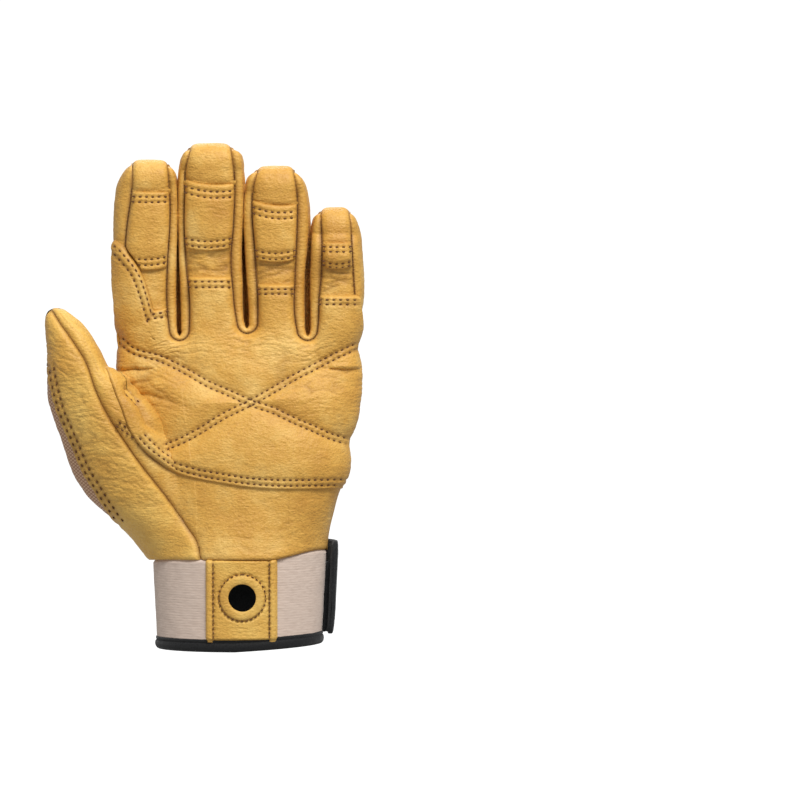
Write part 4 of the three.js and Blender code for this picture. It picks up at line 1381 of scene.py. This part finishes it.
def stitch_ball():
    """A unit ball of few faces, its long axis first."""
    rings = 5
    around = 7
    lift = np.linspace(-np.pi / 2, np.pi / 2, rings + 1)[:, None]
    turn = np.arange(around) * 2 * np.pi / around
    level = np.cos(lift)
    ball = np.stack([np.sin(lift) + 0 * turn, level * np.cos(turn), level * np.sin(turn)], axis=-1)
    index = np.arange((rings + 1) * around).reshape(rings + 1, around)
    return ball.reshape(-1, 3), grid_quads(np.concatenate([index, index[:, :1]], axis=1))


def thread(name, sites, size, in_place=False):
    """Every stitch as a small ball stretched along its thread, from sites of (points, along, out)."""
    ball, quads = stitch_ball()
    place, along, out = (np.concatenate([site[k] for site in sites]) for k in range(3))
    across = np.cross(along, out)
    axes = np.stack([along * size[0], across * size[1], out * size[2]], axis=1)
    vertices = place[:, None] + np.einsum("bk,skc->sbc", ball, axes)
    if not in_place:
        vertices = through_lens(vertices)
    faces = quads[None] + (np.arange(len(place)) * len(ball))[:, None, None]
    piece = new_piece(name, vertices.reshape(-1, 3) * MM, faces.reshape(-1, 4), THREAD)
    tidy_mesh(piece.data, STITCH_MERGE, closed=True)


def sewn(line, lift_of, pitch=STITCH_PITCH, start=0.8, keep=None):
    """Stitch sites along a line on the palm side, at the leather's own level there."""
    x, z, ahead_x, ahead_z = along_line(line, pitch, start)
    if keep is not None:
        chosen = keep(x, z)
        x, z, ahead_x, ahead_z = x[chosen], z[chosen], ahead_x[chosen], ahead_z[chosen]
    front = np.zeros(x.shape, bool)
    points, out = on_hand(x, z, front)
    ahead, _ = on_hand(x + 0.1 * ahead_x, z + 0.1 * ahead_z, front)
    return points + out * (lift_of(x, z) + 0 * x)[:, None], unit(ahead - points), out


def on_palm(x, z):
    """Whether a stitch lies on the palm's own share of the leather."""
    inside = (x < palm_right(z) - 1.2) & (x > np.where(z > FORK_Z, palm_left(z) + 0.8, -99))
    return inside & (near_slots(x, z) > 0.9) & ((x > -31) | (x < slot_sides(0, z)[0] - 0.9))


def glove_stitches():
    """Every sewn row of the palm side, and the fine thread down in the finger seams."""
    raised = []
    overlay = lambda x, z: overlay_height(x, z) + (quilting(x, z) + palm_creases(x, z)) + 0.1
    for line in PALM_ROWS:
        raised.append(sewn(line, overlay, keep=on_palm))
    for name in TONGUES:
        for line in tongue_rows(name):
            lift = lambda x, z, line=line: overlay(x, z) + stitched(x, z, line)
            raised.append(sewn(line, lift))
    clear = lambda x, z: z > wrap_z(x) + 1
    for name in ORDER:
        for row in pad_rows(name):
            lift = lambda x, z, row=row: pad_level(name, x, z) + stitched(x, z, row) + 0.1
            raised.append(sewn(row, lift, keep=clear if name == "index" else None))
    thumb = lambda x, z: 0.8 + hide_relief(x, z, 0.9, 81) - 0.3
    in_front = lambda x, z: (x > thumb_left(z) + 0.8) & (z < MESH_TOP_Z)
    for line in THUMB_ROWS:
        raised.append(sewn(line, thumb, THUMB_PITCH, keep=in_front))
    for line in BAR_ROWS:
        raised.append(sewn(line, lambda x, z: 0.5 + hide_relief(x, z, 0.7, 71)))
    thread("glove_stitches", raised, ROW_THREAD)
    fine = []
    low = lambda x, z: -SEAM_FLOOR + 0.5
    for line in SLOT_LINES:
        fine.append(sewn(line, low, SEAM_PITCH, keep=lambda x, z: z < 199))
    for name in ORDER:
        finger = FINGERS[name]
        for side in ("seam_left", "seam_right"):
            start = 154 if (name, side) in (("index", "seam_left"), ("little", "seam_right")) else 199
            z = np.arange(start, finger["dome"] + 7, 1.0)
            if len(z) > 2:
                line = np.stack([finger[side](z), z], 1)
                fine.append(sewn(line, low, SEAM_PITCH, keep=lambda x, z: z < finger["dome"]))
    thread("seam_thread", fine, SEAM_THREAD)


def pad_level(name, x, z):
    """The pad's level at a stitch."""
    finger = FINGERS[name]
    up = np.clip((z - finger["pad"]) / (finger["cap"] - finger["pad"]), 0, 1)
    return COVER + pad_skin(name, x, z, up)


# Cuff: these are built in place, round the ellipse of the elastic
ELASTIC_HALF = (39.8, 27.0)
FOOT_HALF = (37.6, 26.0)
HOLE_X = 3.4
HOLE_Z = 26.7
HOLE_RADIUS = 6.5
TAB_X = 2.9
TAB_HALF = 16.0
TAB_OUT = 1.3
TAB_LOW = 6.7
TAB_TOP = 46.5
BAND_LOW = 4.0
ELASTIC_TOP = 49.5
ELASTIC_WALL = 1.2
LINING_TOP = 37.5
LINING_WALL = 0.8
RING_MIDDLE = 8.0
RING_HALF = 1.85
# The cuff's mean radius, and its bands: name, angles from and to, heights low and high, distance out from
# the elastic's face inside and outside, length over which an end is rounded, node and seed
CUFF_RADIUS = 33
BANDS = [
    ("loop_patch_cloth", 1.66, 3.75, 8.0, 40.4, 0.4, 2.2, 1.5, "loop_patch", 191),
    ("closure_strap_cloth", 1.46, 3.42, 7.6, 50.3, 2.4, 5.4, 3.0, "closure_strap", 193),
]


def cuff_point(angle, z, out):
    """A point round the cuff: angle 0 faces -Y and turns towards +X, out from the elastic's face."""
    up = z / WRIST_Z
    half_x, half_y = (foot + (top - foot) * up for foot, top in zip(FOOT_HALF, ELASTIC_HALF))
    x = (half_x + out) * np.sin(angle)
    return np.stack([x, -(half_y + out) * np.cos(angle), z + 0 * angle], axis=-1)


def front_point(x, z, out):
    """A point on the cuff's front at x, out from the elastic's face, and the angle there."""
    angle = front_angle(x)
    points = cuff_point(angle, z, out)
    points[..., 0] = x
    return points, angle


def front_angle(x):
    """The angle round the cuff at which its front lies at x."""
    return np.arcsin(np.clip(x / (ELASTIC_HALF[0] - 0.6), -1, 1))


def hem_height(angle):
    """Height at which the leather's lower edge meets the elastic."""
    x = ELASTIC_HALF[0] * np.sin(angle)
    y = -ELASTIC_HALF[1] * np.cos(angle)
    return EYE_Z + (WRIST_Z + hem_rise(x) - EYE_Z) * (EYE_BACK + y) / EYE_BACK


def clear_of_hole(corners):
    """Whether a face lies clear of the clip hole in the cuff's front."""
    gap = np.hypot(corners[..., 0] - HOLE_X, corners[..., 2] - HOLE_Z)
    return (gap.min(axis=1) > HOLE_RADIUS + 0.6) | (corners[..., 1].mean(axis=1) > 0)


def elastic_band():
    """The elastic: fine level ribs round a thin tube, tucked under the leather, cut at the clip hole."""
    z = np.linspace(BAND_LOW, ELASTIC_TOP, 125)[:, None]
    angle = np.linspace(0, 2 * np.pi, 301)
    rib = 0.04 * np.cos(2 * np.pi * z / 1.15) * (1 + 0.5 * lattice_noise(angle * 28, z / 1.6, 161))
    soft = 0.16 * lattice_noise(angle * 5, z / 12, 163) + 0.06 * creases(angle * 38, z, 2, 20, 6, 165)
    tuck = 1.5 * smooth_step(-1.4, 1.2, z - hem_height(angle))
    points = cuff_point(angle + 0 * z, z + 0 * angle, rib + soft - tuck - 0.1)
    put("cuff_elastic_band", [(points, 0.0)], ELASTIC, ["cuff_elastic"], ELASTIC_WALL,
        in_place=True, keep=clear_of_hole)


def lining_band():
    """The dark lining inside the elastic, cut out at the clip hole."""
    z = np.linspace(BAND_LOW, LINING_TOP, 40)[:, None]
    angle = np.linspace(0, 2 * np.pi, 241)
    soft = 0.2 * lattice_noise(angle * 5, z / 12, 167)
    points = cuff_point(angle + 0 * z, z + 0 * angle, soft - 2.0)
    put("cuff_lining_cloth", [(points, 0.0)], DARK, ["cuff_lining"], LINING_WALL,
        in_place=True, keep=clear_of_hole)


def cuff_tab():
    """The tab: rays from the clip hole's rim out to the tab's own outline, with folded side edges."""
    ray = np.linspace(0, 2 * np.pi, 321)
    reach = np.concatenate([np.linspace(0, 0.35, 16, endpoint=False), np.linspace(0.35, 1, 44)])[:, None]
    aim_x = np.sin(ray)
    aim_z = np.cos(ray)
    side_gap = np.where(aim_x > 0, TAB_X + TAB_HALF - HOLE_X, HOLE_X - TAB_X + TAB_HALF)
    end_gap = np.where(aim_z > 0, TAB_TOP - HOLE_Z, HOLE_Z - TAB_LOW)
    far = np.minimum(side_gap / np.maximum(np.abs(aim_x), 1e-6), end_gap / np.maximum(np.abs(aim_z), 1e-6))
    radius = HOLE_RADIUS + (far - HOLE_RADIUS) * reach
    x = HOLE_X + radius * aim_x
    z = HOLE_Z + radius * aim_z
    side = TAB_HALF - np.abs(x - TAB_X)
    fold = 0.75 * bell(side - 1.9, 1.7, 4)
    relief = hide_relief(x, z, 1.0, 171) * 0.7
    lift = TAB_OUT + relief + fold
    for line in TAB_LINES:
        lift = lift + 1.2 * stitched(x, z, line)
    lift = lift - 1.2 * bell(side, 0.5) - 0.5 * bell(radius - HOLE_RADIUS, 0.8)
    above_hem = z - hem_height(front_angle(x))
    lift = lift - 3.2 * smooth_step(-1.0, 0.8, above_hem) - 1.5 * (1 - smooth_step(7.2, 8.6, z))
    # Painted shade in creases and in the groove inside each folded side edge
    tone = painted_crease_shade(relief) + 0.5 * bell(side - 3.5, 0.5)
    points, _ = front_point(x, z, lift)
    inner = points[:1] + np.array([0, 3.2, 0])
    points = np.concatenate([inner, points])
    tone = np.concatenate([tone[:1], tone])
    put("cuff_tab_leather", [(points, tone)], YELLOW, ["cuff_tab"], in_place=True)


def circle_line(radius):
    """A circle of (x, z) round the clip hole."""
    turn = np.linspace(0, 2 * np.pi, 73)
    return np.stack([HOLE_X + radius * np.sin(turn), HOLE_Z + radius * np.cos(turn)], axis=1)


STITCH_CIRCLE = 10.4
ROW_INSET = 3.5
SIDE_ROWS = (TAB_X - TAB_HALF + ROW_INSET, TAB_X + TAB_HALF - ROW_INSET)
TAB_LINES = [np.array([(x, 8.6), (x, 44.0)]) for x in SIDE_ROWS] + [circle_line(STITCH_CIRCLE)]


def hole_ring():
    """The puffed ring between the clip hole and its circle of stitches: a flat half torus."""
    turn = np.linspace(0, 2 * np.pi, 145)[None]
    roll = np.linspace(-0.15 * np.pi, 1.15 * np.pi, 22)[:, None]
    radius = RING_MIDDLE - RING_HALF * np.cos(roll)
    x = HOLE_X + radius * np.sin(turn)
    z = HOLE_Z + radius * np.cos(turn)
    lift = TAB_OUT + 0.15 + 0.5 * np.sin(roll) + 0.12 * lattice_noise(x / 3, z / 3, 175)
    points, _ = front_point(x, z, lift)
    put("clip_hole_ring", [(points, 0.06)], YELLOW, ["tab_ring"], in_place=True)


def tab_stitches():
    """The tab's two side rows and its circle of stitches."""
    sites = []
    for line, pitch in zip(TAB_LINES, (1.9, 1.9, 2.15)):
        x, z, ahead_x, ahead_z = along_line(line, pitch, 0.5)
        low = z < hem_height(front_angle(x)) - 1.2
        x, z, ahead_x, ahead_z = x[low], z[low], ahead_x[low], ahead_z[low]
        points, angle = front_point(x, z, TAB_OUT + 0.05 + 0 * x)
        out = np.stack([np.sin(angle), -np.cos(angle), 0 * angle], axis=1)
        along = np.stack([ahead_x * np.cos(angle), ahead_x * np.sin(angle), ahead_z], axis=1)
        sites.append((points, along, out))
    thread("tab_stitches", sites, TAB_THREAD, in_place=True)


def round_cuff(name, profile, nodes, material, relief=0.0):
    """A closed roll round the cuff: a profile of (out, z) carried round the ellipse."""
    profile = np.asarray(profile, float)
    run = run_along(profile)
    at = np.linspace(0, run[-1], 60)
    out = spline(at, run, profile[:, 0])[:, None]
    z = spline(at, run, profile[:, 1])[:, None]
    angle = np.linspace(0, 2 * np.pi, 361)
    sway = relief * lattice_noise(angle * 9, z / 3, 181)
    rise = 0.9 * np.clip(np.cos(angle), 0, 1) + 2.1 * np.clip(np.sin(angle), 0, 1)
    points = cuff_point(angle + 0 * z, z + rise, out + sway)
    put(name, [(points[::-1], 0.0)], material, nodes, in_place=True)


def binding():
    """The dark binding: a round lower roll with a thin upper lip against the elastic."""
    profile = [
        (-3.3, 6.6), (-2, 7.0), (-0.3, 7.1), (0.2, 6.8), (0.4, 6.2), (0.2, 5.6), (0.1, 5.4), (0.5, 5),
        (0.8, 4.3),
        (0.9, 3.2), (0.6, 2.1), (0, 1.4), (-0.8, 1.2), (-1.8, 1.3), (-3.0, 1.9), (-3.5, 3), (-3.5, 5),
        (-3.3, 6.6)]
    round_cuff("cuff_binding_roll", profile, ["cuff_binding"], DARK, 0.1)


def strap_band(name, start, stop, low, high, inner, outer, round_end, node, seed):
    """A band round part of the cuff: a rounded rectangle carried along, drawn in at both ends."""
    run = np.linspace(0, 1, 130)[:, None]
    turn = np.linspace(0, 2 * np.pi, 61)
    angle = start + (stop - start) * run
    length = abs(stop - start) * CUFF_RADIUS
    ends = np.clip(np.minimum(run, 1 - run) * length / round_end, 0, 1)
    draw = np.sqrt(1 - (1 - ends)**2)
    square = lambda value: np.sign(value) * np.abs(value)**0.34
    corner = 0.8 + 0.2 * draw
    out = (inner + outer) / 2 + (outer - inner) / 2 * square(np.cos(turn)) * np.clip(draw * 3, 0, 1)
    z = (low + high) / 2 + (high - low) / 2 * square(np.sin(turn)) * corner
    fuzz = 0.16 * lattice_noise(angle * CUFF_RADIUS / 1.1, z / 1.1, seed)
    fuzz = fuzz + 0.25 * lattice_noise(angle * 4, z / 14, seed + 1)
    points = cuff_point(angle + 0 * turn, z, out + fuzz)
    caps = [points.mean(axis=1, keepdims=True)[k] + 0 * points[0] for k in (0, -1)]
    points = np.concatenate([caps[0][None], points, caps[1][None]])
    put(name, [(points[::-1], 0.0)], HOOK, [node], in_place=True)


def main():
    """Builds every piece of the glove."""
    palm_base()
    palm_overlay()
    put("thumb_inner_leather", [thumb_inner()], YELLOW, ["thumb_inner"])
    put("thumb_outer_leather", thumb_outer(), YELLOW, ["thumb_outer"])
    for name in ORDER:
        finger_pad(name)
        finger_cap(name)
    for slot in range(3):
        fourchette(slot)
    outer_side("index", -1)
    outer_side("little", 1)
    back_knit()
    glove_stitches()
    elastic_band()
    lining_band()
    cuff_tab()
    hole_ring()
    tab_stitches()
    binding()
    for band in BANDS:
        strap_band(*band)


main()


# Stage: pale floor and soft studio light, in metres and watts
SKY = 0.47
# Lamps: name, place, width, power
LAMPS = [("front", (0.3, -0.75, 1.15), 0.5, 18), ("behind", (-0.2, 1.0, 1.2), 0.6, 5)]
LAMP_AIM = (0, 0, 0.12)
FLOOR_FLAT = 1.9
FLOOR_BEND = 0.9
FLOOR_WALL = 2.6
FLOOR_DROP = 0.09


def studio_camera():
    """A camera level with the picture's middle, in front of the palm."""
    data = bpy.data.cameras.new("camera")
    data.sensor_width = SENSOR
    data.lens = SENSOR * EYE_BACK / PICTURE_WIDTH
    camera = placed("camera", data)
    camera.location = (EYE_X * MM, -EYE_BACK * MM, EYE_Z * MM)
    camera.rotation_euler = (math.pi / 2, 0, 0)
    bpy.context.scene.camera = camera


def studio_lights():
    """Even pale surroundings, a soft lamp above in front on the right and a weaker one above behind."""
    world = bpy.data.worlds.new("studio")
    world.use_nodes = True
    sky = world.node_tree.nodes["Background"]
    sky.inputs["Color"].default_value = (1, 1, 1, 1)
    sky.inputs["Strength"].default_value = SKY
    bpy.context.scene.world = world
    for name, place, size, power in LAMPS:
        light = bpy.data.lights.new(name, "AREA")
        light.size = size
        light.energy = power
        lamp = placed(name, light)
        lamp.location = place
        aim = Vector(LAMP_AIM) - Vector(place)
        lamp.rotation_euler = aim.to_track_quat("-Z", "Y").to_euler()


def pale_floor():
    """A round floor that rises in a smooth curve to a low wall all round: a profile turned about Z.

    It shines white of itself, and only the camera sees it, so the glove's light comes from above alone.
    """
    bend = np.linspace(0, np.pi / 2, 25)[1:]
    wall = FLOOR_FLAT + FLOOR_BEND
    radius = np.concatenate([[0.001, FLOOR_FLAT], FLOOR_FLAT + FLOOR_BEND * np.sin(bend), [wall]])
    height = np.concatenate([[0, 0], FLOOR_BEND * (1 - np.cos(bend)), [FLOOR_WALL]]) - FLOOR_DROP
    radius = radius[:, None]
    height = height[:, None]
    turn = np.linspace(0, 2 * np.pi, 97)
    points = np.stack([radius * np.cos(turn), radius * np.sin(turn), height + 0 * turn], axis=-1)
    faces = grid_quads(np.arange(points.size // 3).reshape(len(radius), -1))[:, ::-1]
    material, _, shader, _ = shade_tree("pale_floor")
    shader.inputs["Base Color"].default_value = (0.2, 0.2, 0.2, 1)
    shader.inputs["Roughness"].default_value = 1.0
    shader.inputs["Emission Color"].default_value = (1, 1, 1, 1)
    shader.inputs["Emission Strength"].default_value = 0.95
    floor = new_object("floor", points.reshape(-1, 3), faces, material)
    floor.visible_diffuse = False
    floor.visible_glossy = False


studio_camera()
studio_lights()
pale_floor()
bpy.context.scene.view_settings.view_transform = "Standard"
